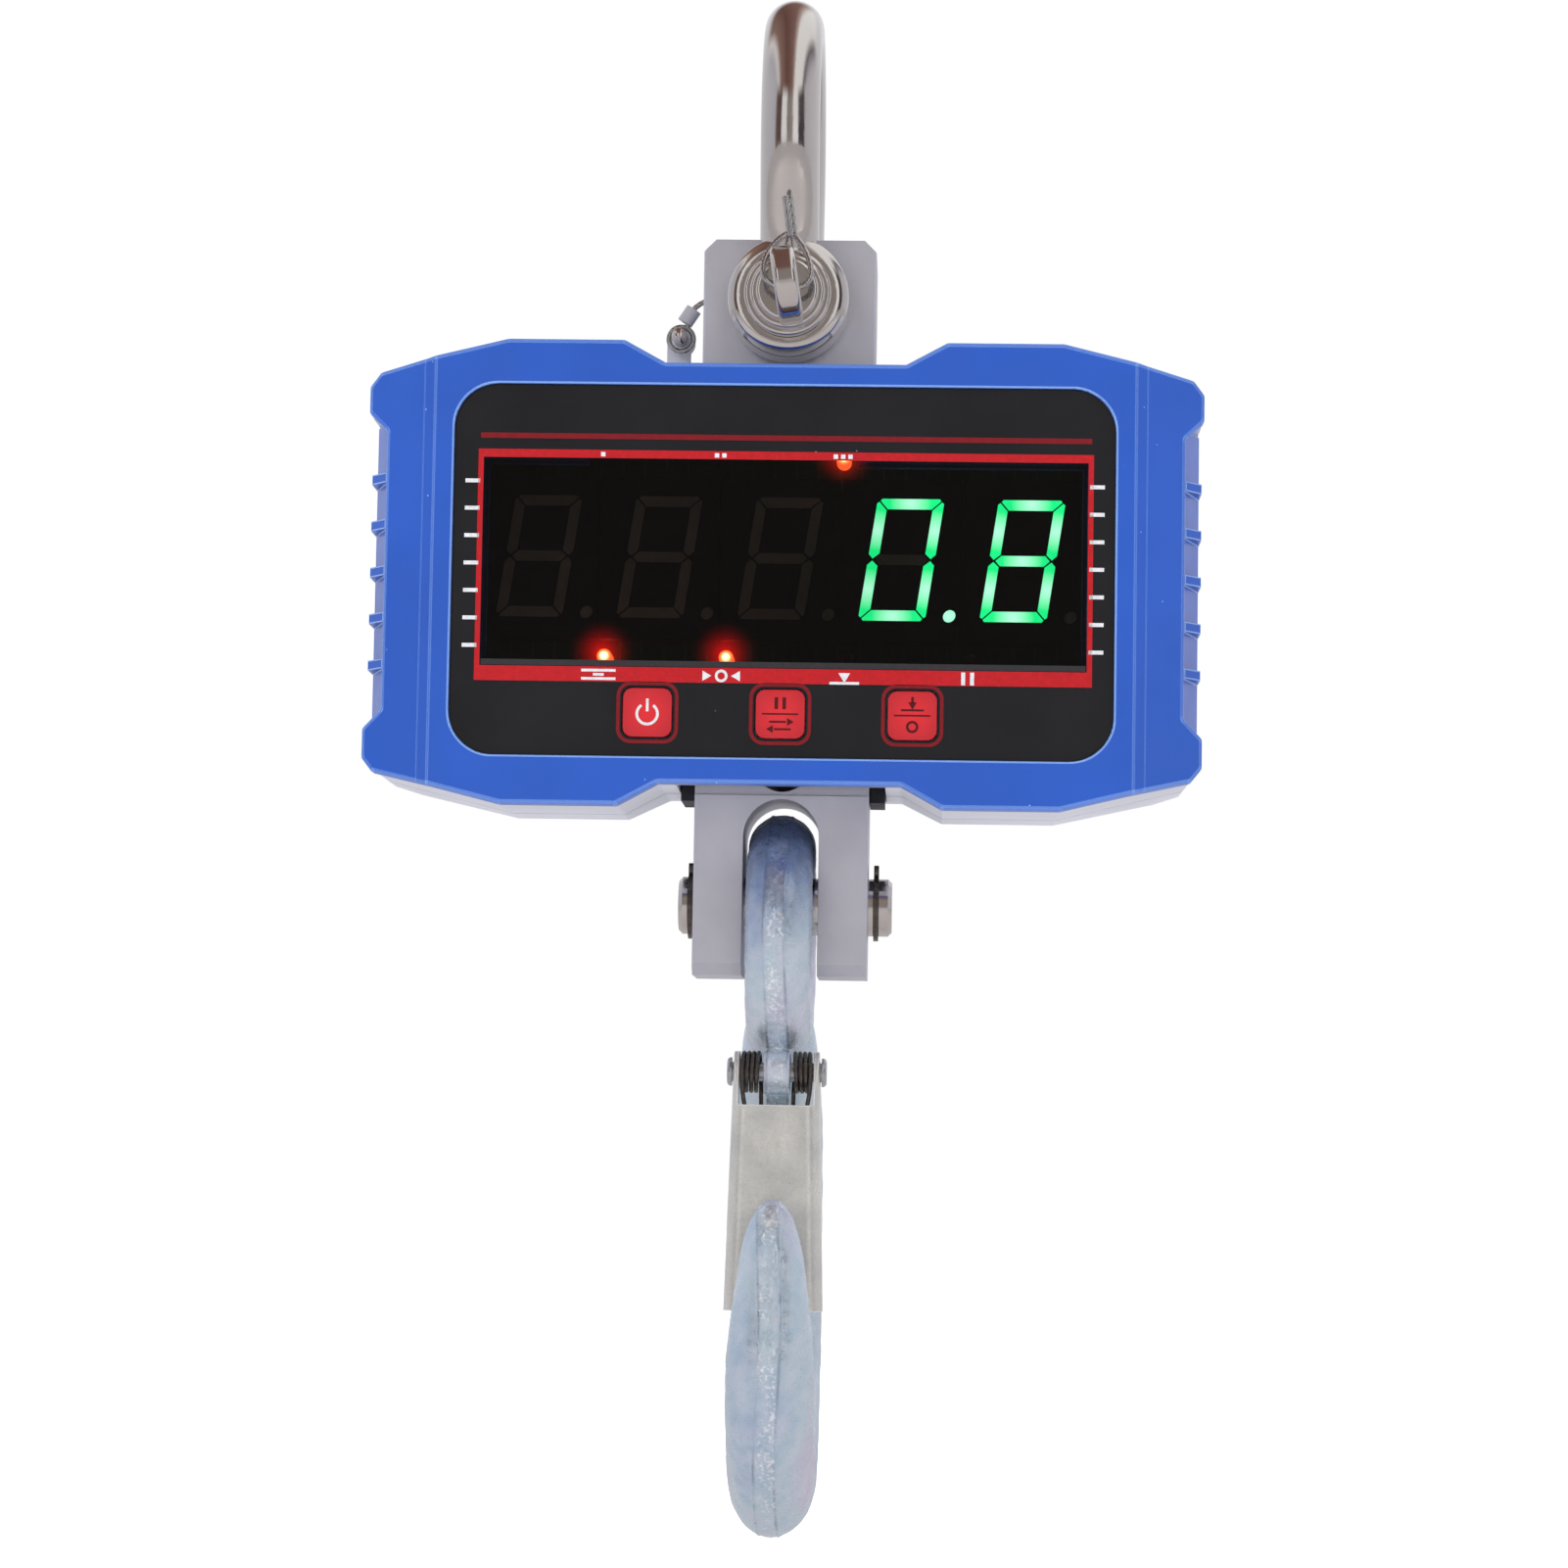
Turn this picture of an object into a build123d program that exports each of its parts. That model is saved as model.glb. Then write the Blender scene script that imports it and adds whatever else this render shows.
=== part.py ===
from build123d import *
from math import cos, radians, sin
import os

# Hanging crane scale, millimetres. X runs to the right of the display, Y runs from the display to the
# back, Z is up. The origin is the point inside the shackle's crown that bears on the crane's hook.

# Load path
SHACKLE_BAR_R = 6.1
SHACKLE_PIN_Z = -55.0
SHACKLE_PIN_R = 6.0
EAR_R = 12.6
EAR_WIDTH = 12.0
EAR_ROUNDING = 2.8
EAR_GAP = 0.5
CROWN_INNER_R = 19.0
HOOK_PIN_Z = -179.7
HOOK_PIN_R = 6.0
HOOK_PIN_ENDS = (-21.4, 23.0)
RUNNING = 0.05

# Load cell
CELL_WIDTH = 36.0
CELL_DEPTH = 24.0
CELL_TOP_Z = -41.0
CELL_BOTTOM_Z = -194.6
SLOT_WIDTH = 15.6
SLOT_TOP_Z = -158.2
GAUGE_HOLE_R = 6.0

# Case: heights below are measured from the case's own centre
CASE_Z = -113.6
FRONT_Y = -30.0
BEZEL_BACK_Y = -26.0
PARTING_Y = 0.0
BACK_Y = 22.0
WALL = 2.5
BACK_WALL_Y = 18.8
HALF_WIDTH = 85.7
GRIP_INSET = 3.9
GRIP_BOTTOM_Z = -28.4
GRIP_TOP_Z = 29.0
SHOULDER_Z = 47.8
RECESS_Z = 43.2
PLATEAU_X = 71.6
GASKET = 1.0

# Front panel
PANEL_WIDTH = 135.0
PANEL_HEIGHT = 76.3
PANEL_RADIUS = 9.0
PANEL_SINK = 0.8
PANEL_THICK = 0.5
WINDOW_X = (-61.3, 61.85)
WINDOW_Z = (-19.4, 23.2)
WINDOW_THICK = 2.0
KEY_CENTRES = {"power_key": -27.0, "hold_unit_key": 0.0, "tare_zero_key": 26.8}
KEY_Z = -28.8
KEY_SIZE = 10.0
KEY_TRAVEL = 0.4

# Display
DIGIT_PITCH = 24.8
FIRST_DIGIT_X = -50.3
DIGIT_Z = 4.0
DIGIT_FACE_Y = -22.5
BOARD_Y = (-16.2, -14.6)
LAMPS_BELOW = (-36.5, -11.5, 13.5, 38.5)
LAMPS_ABOVE = (-37.0, -13.0, 12.0)
LAMP_BELOW_Z = -16.6
LAMP_ABOVE_Z = 24.9

# Fasteners
M3_R = 1.5
M3_HEAD_R = 2.8
BOARD_SCREWS = [(side * 66.0, z) for side in (-1, 1) for z in (-32.0, 28.0)]
BRACKET_Z = 31.0
BRACKET_SCREW_X = 9.0
BRACKET_BOSS_X = 21.4

# Hook, measured from the hook pin's axis; the eye hangs on the pin
EYE_INNER_R = 13.0
EYE_OUTER_R = 26.0
EYE_WIDTH = 13.8
EYE_Z = -(EYE_INNER_R - HOOK_PIN_R - RUNNING)
THROAT_R = 18.5
THROAT_Z = -87.6
HOOK_WIDTH = 18.1
RIVET = (-12.5, -34.8)
RIVET_R = 2.0
LATCH_SHEET = 1.2
LATCH_FACE_Y = -18.3
LATCH_TOP_Z = -41.6
LATCH_BOTTOM_Z = -83.4
LATCH_TOP_WIDTH = 18.0
LATCH_BOTTOM_WIDTH = 20.2


def four_ways(points):
    """Each X and Z point with its mirror images on the other three quarters."""
    return [(side * x, level * z) for x, z in points for side in (-1, 1) for level in (-1, 1)]


CASE_BOSSES = four_ways([(73.0, 35.5), (42.0, 41.2)])
BEZEL_SCREWS = four_ways([(71.0, 30.0), (40.0, 41.6)])


def block(x, y, z):
    """A box given by its low and high values on each axis."""
    centre = [(low + high) / 2 for low, high in (x, y, z)]
    return Pos(*centre) * Box(x[1] - x[0], y[1] - y[0], z[1] - z[0])


def rod(axis, at, radius, span):
    """A cylinder along one axis over a span, through the point given on the other two axes."""
    middle = (span[0] + span[1]) / 2
    shape = Cylinder(radius, span[1] - span[0])
    if axis == "X":
        return Pos(middle, at[0], at[1]) * Rot(0, 90, 0) * shape
    if axis == "Y":
        return Pos(at[0], middle, at[1]) * Rot(90, 0, 0) * shape
    return Pos(at[0], at[1], middle) * shape


def bar(start, end, radius):
    """A straight round bar between two points."""
    path = Line(start, end)
    return extrude(Plane(origin=start, z_dir=path % 0) * Circle(radius), amount=path.length)


def front_plane(y):
    """The plane at depth y whose own axes are X and Z."""
    return Plane(origin=(0, y, 0), x_dir=(1, 0, 0), z_dir=(0, -1, 0))


def slab(sketch, y):
    """An outline drawn in X and Z, filled from y[0] to y[1]."""
    return extrude(front_plane(y[0]) * sketch, amount=y[1] - y[0], dir=(0, 1, 0))


def prism_x(points, x):
    """A polygon drawn in Y and Z, filled across x."""
    side_plane = Plane(origin=(x[0], 0, 0), x_dir=(0, 1, 0), z_dir=(1, 0, 0))
    face = side_plane * make_face(Polyline(*points, close=True))
    return extrude(face, amount=x[1] - x[0], dir=(1, 0, 0))


def prism_z(points, z):
    """A polygon drawn in X and Y, filled upwards over z."""
    face = Pos(0, 0, z[0]) * make_face(Polyline(*points, close=True))
    return extrude(face, amount=z[1] - z[0], dir=(0, 0, 1))


def grown(span, margin):
    """A span made longer by the margin at each end."""
    return span[0] - margin, span[1] + margin


def joined(shapes):
    """All shapes fused into one."""
    result = shapes[0]
    for shape in shapes[1:]:
        result = result + shape
    return result


def cut_all(body, tools):
    """The body with every tool taken out of it."""
    for tool in tools:
        body = body - tool
    return body


def wire_through(points, radius, tangents=()):
    """A round wire that runs smoothly through the points."""
    path = Spline(*points, tangents=tangents)
    section = Plane(origin=path @ 0, z_dir=path % 0) * Circle(radius)
    return sweep(section, path=path)


# ---- Shackle -------------------------------------------------------------------------------------


def shackle_bow():
    ear_y = CELL_DEPTH / 2 + EAR_GAP + EAR_WIDTH / 2
    crown_r = CROWN_INNER_R + SHACKLE_BAR_R
    crown_z = SHACKLE_BAR_R - crown_r
    foot_z = SHACKLE_PIN_Z + 6.0
    up, down = (0, 0, 1), (0, 0, -1)
    rise = Spline((0, ear_y, foot_z), (0, crown_r, crown_z), tangents=(up, up))
    crown = ThreePointArc((0, crown_r, crown_z), (0, 0, SHACKLE_BAR_R), (0, -crown_r, crown_z))
    fall = Spline((0, -crown_r, crown_z), (0, -ear_y, foot_z), tangents=(down, down))
    section = Plane(origin=(0, ear_y, foot_z), z_dir=up) * Circle(SHACKLE_BAR_R)
    bow = sweep(section, path=rise + crown + fall)
    for side in (-1, 1):
        edge = side * EAR_WIDTH / 2
        ear = rod("Y", (0, SHACKLE_PIN_Z), EAR_R, sorted((side * ear_y - edge, side * ear_y + edge)))
        bow += fillet(ear.edges().filter_by(GeomType.CIRCLE), EAR_ROUNDING)
    return bow - rod("Y", (0, SHACKLE_PIN_Z), SHACKLE_PIN_R + RUNNING, (-30, 30))


PIN_COLLAR = (9.0, -27.0, -24.95)
PIN_STEP = (7.7, -28.4, -27.0)
PIN_DISC = (6.4, -30.0, -28.4)
PIN_EYE_Y = -36.5
PIN_EYE_R = 3.2
PIN_TAB_R = 7.4
PIN_TAB_THICK = 5.0
PIN_TILT = 9.0


def shackle_pin():
    """A screw pin whose stepped head carries an eye tab, left slightly turned when tightened."""
    axis = (0, SHACKLE_PIN_Z)
    shank = rod("Y", axis, SHACKLE_PIN_R, (PIN_COLLAR[2], 26.0))
    shank = chamfer(shank.edges().group_by(Axis.Y)[-1], 0.8)
    pieces = [shank]
    for radius, front, back in (PIN_COLLAR, PIN_STEP, PIN_DISC):
        step = rod("Y", axis, radius, (front, back))
        pieces.append(fillet(step.edges().group_by(Axis.Y)[0], 0.7))
    half = PIN_TAB_THICK / 2
    tab = block((-half, half), (PIN_EYE_Y, PIN_DISC[1] + 1.0), (-PIN_TAB_R, PIN_TAB_R))
    tab += rod("X", (PIN_EYE_Y, 0), PIN_TAB_R, (-half, half))
    tab -= rod("X", (PIN_EYE_Y, 0), PIN_EYE_R, (-4, 4))
    tab = fillet(tab.edges().filter_by(GeomType.CIRCLE), 1.2)
    pieces.append(Pos(0, 0, SHACKLE_PIN_Z) * Rot(0, -PIN_TILT, 0) * tab)
    return joined(pieces)


def mousing_wire():
    """Soft wire through the pin's eye, its ends twisted together in front of the shackle's leg."""
    twist_y, twist_z = -31.6, SHACKLE_PIN_Z + 11.0
    loop = [
        (0.9, twist_y, twist_z),
        (4.2, -33.6, SHACKLE_PIN_Z + 6.0),
        (3.9, PIN_EYE_Y, SHACKLE_PIN_Z - 0.4),
        (0.0, PIN_EYE_Y, SHACKLE_PIN_Z - 1.2),
        (-3.9, PIN_EYE_Y, SHACKLE_PIN_Z + 0.4),
        (-4.2, -33.6, SHACKLE_PIN_Z + 6.0),
        (-0.1, twist_y, twist_z),
    ]
    tail = Pos(0.4, twist_y, twist_z + 3.6) * Rot(0, -8, 0) * Cylinder(1.15, 8.4)
    return wire_through(loop, 0.6) + tail


# ---- Load cell -----------------------------------------------------------------------------------

LOWER_GAUGE_Z = CASE_Z - 37.0
UPPER_GAUGE_Z = CASE_Z - 1.0
CELL_STEP_Z = CASE_Z - 43.8
CELL_STEP_TOP_Z = CASE_Z + 38.0
CELL_STEP = 0.8
GAUGE_POCKET = 1.2
GAUGE_POCKET_Z = (CASE_Z - 37.5, CASE_Z + 8.0)
TETHER_HOLE_YZ = (1.0, CASE_Z + 62.2)


def load_cell():
    half_x, half_y = CELL_WIDTH / 2, CELL_DEPTH / 2
    body = block((-half_x, half_x), (-half_y, half_y), (CELL_BOTTOM_Z, CELL_TOP_Z))
    body = chamfer(body.edges().filter_by(Axis.Y).group_by(Axis.Z)[-1], 2.5)
    body = chamfer(body.edges().filter_by(Axis.X).group_by(Axis.Z)[0], 2.4)
    upright = [e for e in body.edges().filter_by(Axis.Z) if e.length > 100]
    body = chamfer(upright, 0.4)
    arch_z = SLOT_TOP_Z - SLOT_WIDTH / 2
    slot = block((-SLOT_WIDTH / 2, SLOT_WIDTH / 2), (-20, 20), (CELL_BOTTOM_Z - 1, arch_z))
    slot += rod("Y", (0, arch_z), SLOT_WIDTH / 2, (-20, 20))
    tools = [slot]
    tools.append(rod("Y", (0, SHACKLE_PIN_Z), SHACKLE_PIN_R + RUNNING, (-20, 20)))
    tools.append(rod("X", (0, HOOK_PIN_Z), HOOK_PIN_R + RUNNING, (-20, 20)))
    tools.append(rod("Y", (0, LOWER_GAUGE_Z), GAUGE_HOLE_R, (-20, 20)))
    tools.append(rod("Y", (0, UPPER_GAUGE_Z), GAUGE_HOLE_R, (-20, 20)))
    tools.append(block((-1.5, 1.5), (-20, 20), (LOWER_GAUGE_Z, UPPER_GAUGE_Z)))
    for side in (-1, 1):
        face_y = sorted((side * (half_y - CELL_STEP), side * 20))
        tools.append(block((-20, 20), face_y, (CELL_STEP_Z, CELL_STEP_TOP_Z)))
        face_x = sorted((side * (half_x - GAUGE_POCKET), side * 20))
        tools.append(block(face_x, (-8, 8), GAUGE_POCKET_Z))
        tools.append(rod("Y", (side * BRACKET_SCREW_X, CASE_Z + BRACKET_Z), 2.0, (4, 20)))
    tools.append(rod("X", TETHER_HOLE_YZ, 1.0, (-20, -12.5)))
    return cut_all(body, tools)


def strain_gauges():
    plates = []
    for side in (-1, 1):
        for z in (LOWER_GAUGE_Z + 4.5, UPPER_GAUGE_Z):
            floor = CELL_WIDTH / 2 - GAUGE_POCKET
            span = sorted((side * (floor + 0.02), side * (floor + 0.17)))
            plates.append(block(span, (-2.5, 2.5), (z - 4, z + 4)))
    return plates


def gauge_covers():
    covers = []
    for side in (-1, 1):
        floor = CELL_WIDTH / 2 - GAUGE_POCKET
        span = sorted((side * (floor + 0.2), side * (CELL_WIDTH / 2 + 0.4)))
        z = (GAUGE_POCKET_Z[0] + 0.2, GAUGE_POCKET_Z[1] - 0.2)
        covers.append(block(span, (-7.8, 7.8), z))
    return covers


# ---- Hook and latch, about the hook pin's axis --------------------------------------------------


CIRCLIP_SPANS = ((-19.4, -18.4), (19.2, 20.2))
GROOVE_R = 5.6


def hook_pin():
    pin = rod("X", (0, 0), HOOK_PIN_R, HOOK_PIN_ENDS)
    pin = chamfer(pin.edges().filter_by(GeomType.CIRCLE), 0.8)
    for low, high in CIRCLIP_SPANS:
        groove = rod("X", (0, 0), 8.0, (low - RUNNING, high + RUNNING))
        pin -= groove - rod("X", (0, 0), GROOVE_R, (low - 1, high + 1))
    return pin


def pin_circlips():
    """Retaining rings, open at the top between two drilled lugs."""
    rings = []
    for span in CIRCLIP_SPANS:
        ring = rod("X", (0, 0), 7.0, span)
        for side in (-1, 1):
            ring += rod("X", (side * 2.1, 7.3), 1.4, span)
        ring -= rod("X", (0, 0), GROOVE_R + RUNNING, (span[0] - 1, span[1] + 1))
        ring -= block((span[0] - 1, span[1] + 1), (-0.9, 0.9), (0, 9))
        for side in (-1, 1):
            ring -= rod("X", (side * 2.2, 7.4), 0.5, (span[0] - 1, span[1] + 1))
        rings.append(ring)
    return rings


# The hook's body: the inner and outer edge of each cross-section in the hook's plane, and its width
NECK_SECTIONS = [
    ((-7.0, -24.0), (7.0, -24.0), 14.0),
    ((-6.6, -33.0), (11.5, -31.0), 16.4),
    ((-5.0, -41.0), (17.5, -37.5), 17.6),
    ((0.6, -50.5), (24.5, -45.0), HOOK_WIDTH),
    ((8.0, -59.5), (31.0, -55.0), HOOK_WIDTH),
    ((14.2, -70.0), (36.2, -67.5), HOOK_WIDTH),
    ((17.6, -79.5), (38.6, -79.0), HOOK_WIDTH),
]
BOWL_THICKNESS = {0: 20.5, 30: 22.0, 60: 23.5, 90: 24.0, 120: 23.0, 150: 20.5, 180: 17.5}
TIP_FOOT_WIDTH = 17.0
TIP_SECTIONS = [
    ((-19.3, -78.9), (-34.8, -77.0), 14.6),
    ((-21.2, -70.6), (-33.4, -68.4), 11.8),
    ((-24.2, -63.9), (-31.4, -62.6), 7.2),
    ((-26.6, -60.9), (-29.2, -60.7), 2.8),
]


def hook_section(inner, outer, width):
    """An elliptical cross-section between two points of the hook's plane."""
    inner = Vector(0, *inner)
    outer = Vector(0, *outer)
    across = outer - inner
    plane = Plane(origin=(inner + outer) / 2, x_dir=across, z_dir=across.cross(Vector(1, 0, 0)))
    return plane * Ellipse(across.length / 2, width / 2)


def bowl_sections():
    for angle, thickness in BOWL_THICKNESS.items():
        y, z = cos(radians(angle)), -sin(radians(angle))
        inner = (THROAT_R * y, THROAT_Z + THROAT_R * z)
        reach = THROAT_R + thickness
        outer = (reach * y, THROAT_Z + reach * z)
        yield inner, outer, HOOK_WIDTH if angle < 180 else TIP_FOOT_WIDTH


LUG_WIDTH = 5.6
LUG_R = 4.4


def hook():
    stations = NECK_SECTIONS + list(bowl_sections()) + TIP_SECTIONS
    body = loft([hook_section(*station) for station in stations])
    middle = (EYE_INNER_R + EYE_OUTER_R) / 2
    eye_section = Plane(origin=(0, middle, EYE_Z), x_dir=(0, 1, 0), z_dir=(0, 0, 1)) * Ellipse(
        (EYE_OUTER_R - EYE_INNER_R) / 2, EYE_WIDTH / 2
    )
    eye = revolve(eye_section, axis=Axis((0, 0, EYE_Z), (1, 0, 0)))
    lug_x = (-LUG_WIDTH / 2, LUG_WIDTH / 2)
    lug = block(lug_x, (RIVET[0], -2.0), (RIVET[1] - LUG_R, RIVET[1] + LUG_R))
    lug += rod("X", RIVET, LUG_R, lug_x)
    return body + eye + lug - rod("X", RIVET, RIVET_R + 0.02, (-12, 12))


def latch_rivet():
    rivet = rod("X", RIVET, RIVET_R, (-9.4, 9.4))
    for side in (-1, 1):
        head = rod("X", RIVET, 2.95, sorted((side * 9.2, side * 10.2)))
        outer_edge = head.edges().filter_by(GeomType.CIRCLE).sort_by(Axis.X)[0 if side < 0 else -1]
        rivet += fillet(outer_edge, 0.8)
    return rivet


def latch_channel(inset, bottom_z, top_z):
    """The tapering channel's outer form, or the space inside the sheet when inset is its thickness."""
    faces = []
    for z in (bottom_z, top_z):
        share = (z - LATCH_BOTTOM_Z) / (LATCH_TOP_Z - LATCH_BOTTOM_Z)
        width = LATCH_BOTTOM_WIDTH + share * (LATCH_TOP_WIDTH - LATCH_BOTTOM_WIDTH)
        half = width / 2 - inset
        face = Pos(0, LATCH_FACE_Y + inset + 10, z) * Rectangle(2 * half, 20)
        front_corners = face.vertices().group_by(Axis.Y)[0]
        faces.append(fillet(front_corners, 3.0 - inset))
    return loft(faces)


def latch():
    top = RIVET[1] + 6.0
    inside = latch_channel(LATCH_SHEET, LATCH_BOTTOM_Z - 0.01, top + 0.01)
    sheet = latch_channel(0, LATCH_BOTTOM_Z, top) - inside
    ear_r = 4.2
    flange = prism_x(
        [
            (LATCH_FACE_Y - 0.1, LATCH_BOTTOM_Z),
            (RIVET[0] + 0.5, LATCH_BOTTOM_Z),
            (RIVET[0] + ear_r, LATCH_TOP_Z - 6),
            (RIVET[0] + ear_r, RIVET[1]),
            (RIVET[0] - ear_r, RIVET[1]),
            (LATCH_FACE_Y - 0.1, LATCH_TOP_Z),
        ],
        (-12, 12),
    )
    side_view = flange + rod("X", RIVET, ear_r, (-12, 12))
    sheet = sheet & side_view
    front_gap = block((-7.7, 7.7), (LATCH_FACE_Y - 2, LATCH_FACE_Y + 5), (LATCH_TOP_Z, top + 1))
    return cut_all(sheet, [front_gap, rod("X", RIVET, RIVET_R + RUNNING, (-12, 12))])


COIL_R = 3.9
SPRING_WIRE_R = 0.45
COIL_PITCH = 1.0
COIL_TURNS = 3.5
COIL_START_X = 3.5


def latch_spring():
    """Two coils on the rivet; the front legs press on the latch, the back ones on the hook's neck."""
    helix = Helix(COIL_PITCH, COIL_PITCH * COIL_TURNS, COIL_R)
    first, last = helix @ 0, helix @ 1
    leaving_first, leaving_last = -(helix % 0), helix % 1
    to_neck = Spline(first, first + Vector(0.6, -9.0, -0.2), tangents=(leaving_first, (0.1, -1, 0)))
    to_latch = Spline(last, last + Vector(-0.2, -14.0, -2.6), tangents=(leaving_last, (0, -1, -0.3)))
    wire = Circle(SPRING_WIRE_R)
    coil = sweep(Plane(origin=first, z_dir=helix % 0) * wire, path=helix)
    coil += sweep(Plane(origin=first, z_dir=leaving_first) * wire, path=to_neck)
    coil += sweep(Plane(origin=last, z_dir=leaving_last) * wire, path=to_latch)
    right = Plane(origin=(COIL_START_X, *RIVET), x_dir=(0, 1, 0), z_dir=(1, 0, 0)) * coil
    return [right, mirror(right, about=Plane.YZ)]


# ---- Case, about the case's own centre -----------------------------------------------------------


OUTLINE_ROUNDING = 1.1
RIM_ROUNDING = 0.8
PANEL_EDGE_ROUNDING = 0.3


def case_outline(inset=0.0, notched=True):
    """The case seen from the front: raised shoulders, sunk middle, notched sides."""
    side = [(HALF_WIDTH, 38.4), (HALF_WIDTH, GRIP_TOP_Z + GRIP_INSET)]
    if notched:
        inner_x = HALF_WIDTH - GRIP_INSET
        side += [(inner_x, GRIP_TOP_Z), (inner_x, GRIP_BOTTOM_Z)]
    side += [(HALF_WIDTH, GRIP_BOTTOM_Z - GRIP_INSET), (HALF_WIDTH, -38.4)]
    top = [(24.6, RECESS_Z), (33.0, SHOULDER_Z), (56.8, SHOULDER_Z), (83.4, 41.3)]
    right = top + side + [(x, -z) for x, z in reversed(top)]
    left = [(-x, z) for x, z in reversed(right)]
    outline = make_face(Polyline(*right, *left, close=True))
    outline = fillet(outline.vertices(), OUTLINE_ROUNDING)
    if inset:
        outline = offset(outline, -inset, kind=Kind.INTERSECTION)
    return outline


def rounded_rectangle(x, z, radius):
    centre = Pos((x[0] + x[1]) / 2, (z[0] + z[1]) / 2)
    return centre * RectangleRounded(x[1] - x[0], z[1] - z[0], radius)


WING_STEP_X = 73.9
WING_STEP_Y = -28.7
WING_END = (86.5, -24.4)


def mirrored_profile(half):
    """A closed profile from the points of its right half."""
    return half + [(-x, y) for x, y in reversed(half) if x > 0]


GRIP_BACK_Y = -8.0
GRIP_RIBS = 5
GRIP_RIB_PITCH = 9.65


def grip(side):
    """A scooped side grip with cross ribs, behind the notch of the bezel."""
    floor_x = HALF_WIDTH - GRIP_INSET
    scoop = [
        (77.6, -23.4),
        (floor_x, -23.0),
        (floor_x + 0.3, -21.5),
        (HALF_WIDTH - 0.2, -10.5),
        (HALF_WIDTH - 0.2, GRIP_BACK_Y),
        (77.6, GRIP_BACK_Y),
    ]
    rib = [
        (79.0, -22.8),
        (floor_x + 0.4, -22.8),
        (HALF_WIDTH - 0.1, -18.5),
        (HALF_WIDTH - 0.1, GRIP_BACK_Y),
        (79.0, GRIP_BACK_Y),
    ]
    body = prism_z([(side * x, y) for x, y in scoop], (GRIP_BOTTOM_Z - 3.0, GRIP_TOP_Z + 3.0))
    for number in range(GRIP_RIBS):
        z = 0.6 + GRIP_RIB_PITCH * (number - GRIP_RIBS // 2)
        body += prism_z([(side * x, y) for x, y in rib], (z - 1.0, z + 1.0))
    return body


def rim_edges(body):
    """The edges where the front faces meet the sides, and the creases between the front faces."""
    forward = [e for e in body.edges() if e.bounding_box().max.Y < BEZEL_BACK_Y + 2.0]
    across = [e for e in forward if abs(e.tangent_at(0.5).Y) < 0.6]
    return [e for e in across if abs(e.center().Y - BEZEL_BACK_Y) > 0.05]


PANEL_Z = 0.35


def front_bezel():
    body = slab(case_outline(), (FRONT_Y, -20.0))
    front = [(0, FRONT_Y), (PLATEAU_X, FRONT_Y), (WING_STEP_X, WING_STEP_Y), WING_END]
    back = [(86.5, -20.7), (70.6, BEZEL_BACK_Y), (0, BEZEL_BACK_Y)]
    body = body & prism_z(mirrored_profile(front + back), (-60, 60))
    body = fillet(rim_edges(body), RIM_ROUNDING)
    body += grip(-1) + grip(1)
    panel = Pos(0, PANEL_Z) * RectangleRounded(PANEL_WIDTH, PANEL_HEIGHT, PANEL_RADIUS)
    body -= slab(panel, (FRONT_Y - 1, FRONT_Y + PANEL_SINK + PANEL_THICK))
    pocket_edges = [e for e in body.edges().group_by(Axis.Y)[0] if abs(e.center().X) < PLATEAU_X - 2]
    inner_edges = [e for e in pocket_edges if abs(e.center().Z - PANEL_Z) < PANEL_HEIGHT / 2 + 0.1]
    body = fillet(inner_edges, PANEL_EDGE_ROUNDING)
    lens_y = (FRONT_Y, FRONT_Y + PANEL_SINK + WINDOW_THICK + 0.1)
    lens_space = block(grown(WINDOW_X, 0.1), lens_y, grown(WINDOW_Z, 0.1))
    sight = block(grown(WINDOW_X, -1), (FRONT_Y, -20), grown(WINDOW_Z, -1))
    lamp_slot = block(grown((LAMPS_ABOVE[0], LAMPS_ABOVE[-1]), 3), (FRONT_Y, -20), (WINDOW_Z[1] - 2, 27.4))
    body = cut_all(body, [lens_space, sight, lamp_slot])
    half = KEY_SIZE / 2 + 0.2
    for x in KEY_CENTRES.values():
        body -= block((x - half, x + half), (FRONT_Y, -20), (KEY_Z - half, KEY_Z + half))
    for x, z in BEZEL_SCREWS:
        body -= rod("Y", (x, z), 1.2, (-28.4, -20))
    return body


def panel_overlay():
    y = (FRONT_Y + PANEL_SINK, FRONT_Y + PANEL_SINK + PANEL_THICK)
    sheet = slab(Pos(0, PANEL_Z) * RectangleRounded(PANEL_WIDTH - 0.2, PANEL_HEIGHT - 0.2, PANEL_RADIUS), y)
    sheet -= block(grown(WINDOW_X, 0.1), (FRONT_Y, -25), grown(WINDOW_Z, 0.1))
    opening = KEY_SIZE + 0.4
    for x in KEY_CENTRES.values():
        sheet -= slab(Pos(x, KEY_Z) * RectangleRounded(opening, opening, 2.0), (FRONT_Y, -25))
    return sheet


def display_window():
    front = FRONT_Y + PANEL_SINK
    return block(WINDOW_X, (front, front + WINDOW_THICK), WINDOW_Z)


SWITCH_TIP_Y = -21.0


def key(x):
    """A square key cap with a stem that reaches the switch behind it."""
    front = FRONT_Y + PANEL_SINK - 0.3
    cap = slab(Pos(x, KEY_Z) * RectangleRounded(KEY_SIZE, KEY_SIZE, 2.0), (front, front + 1.0))
    cap = fillet(cap.faces().sort_by(Axis.Y)[0].edges(), 0.3)
    return cap + rod("Y", (x, KEY_Z), 1.8, (front + 0.9, SWITCH_TIP_Y - KEY_TRAVEL - 0.05))


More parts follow.
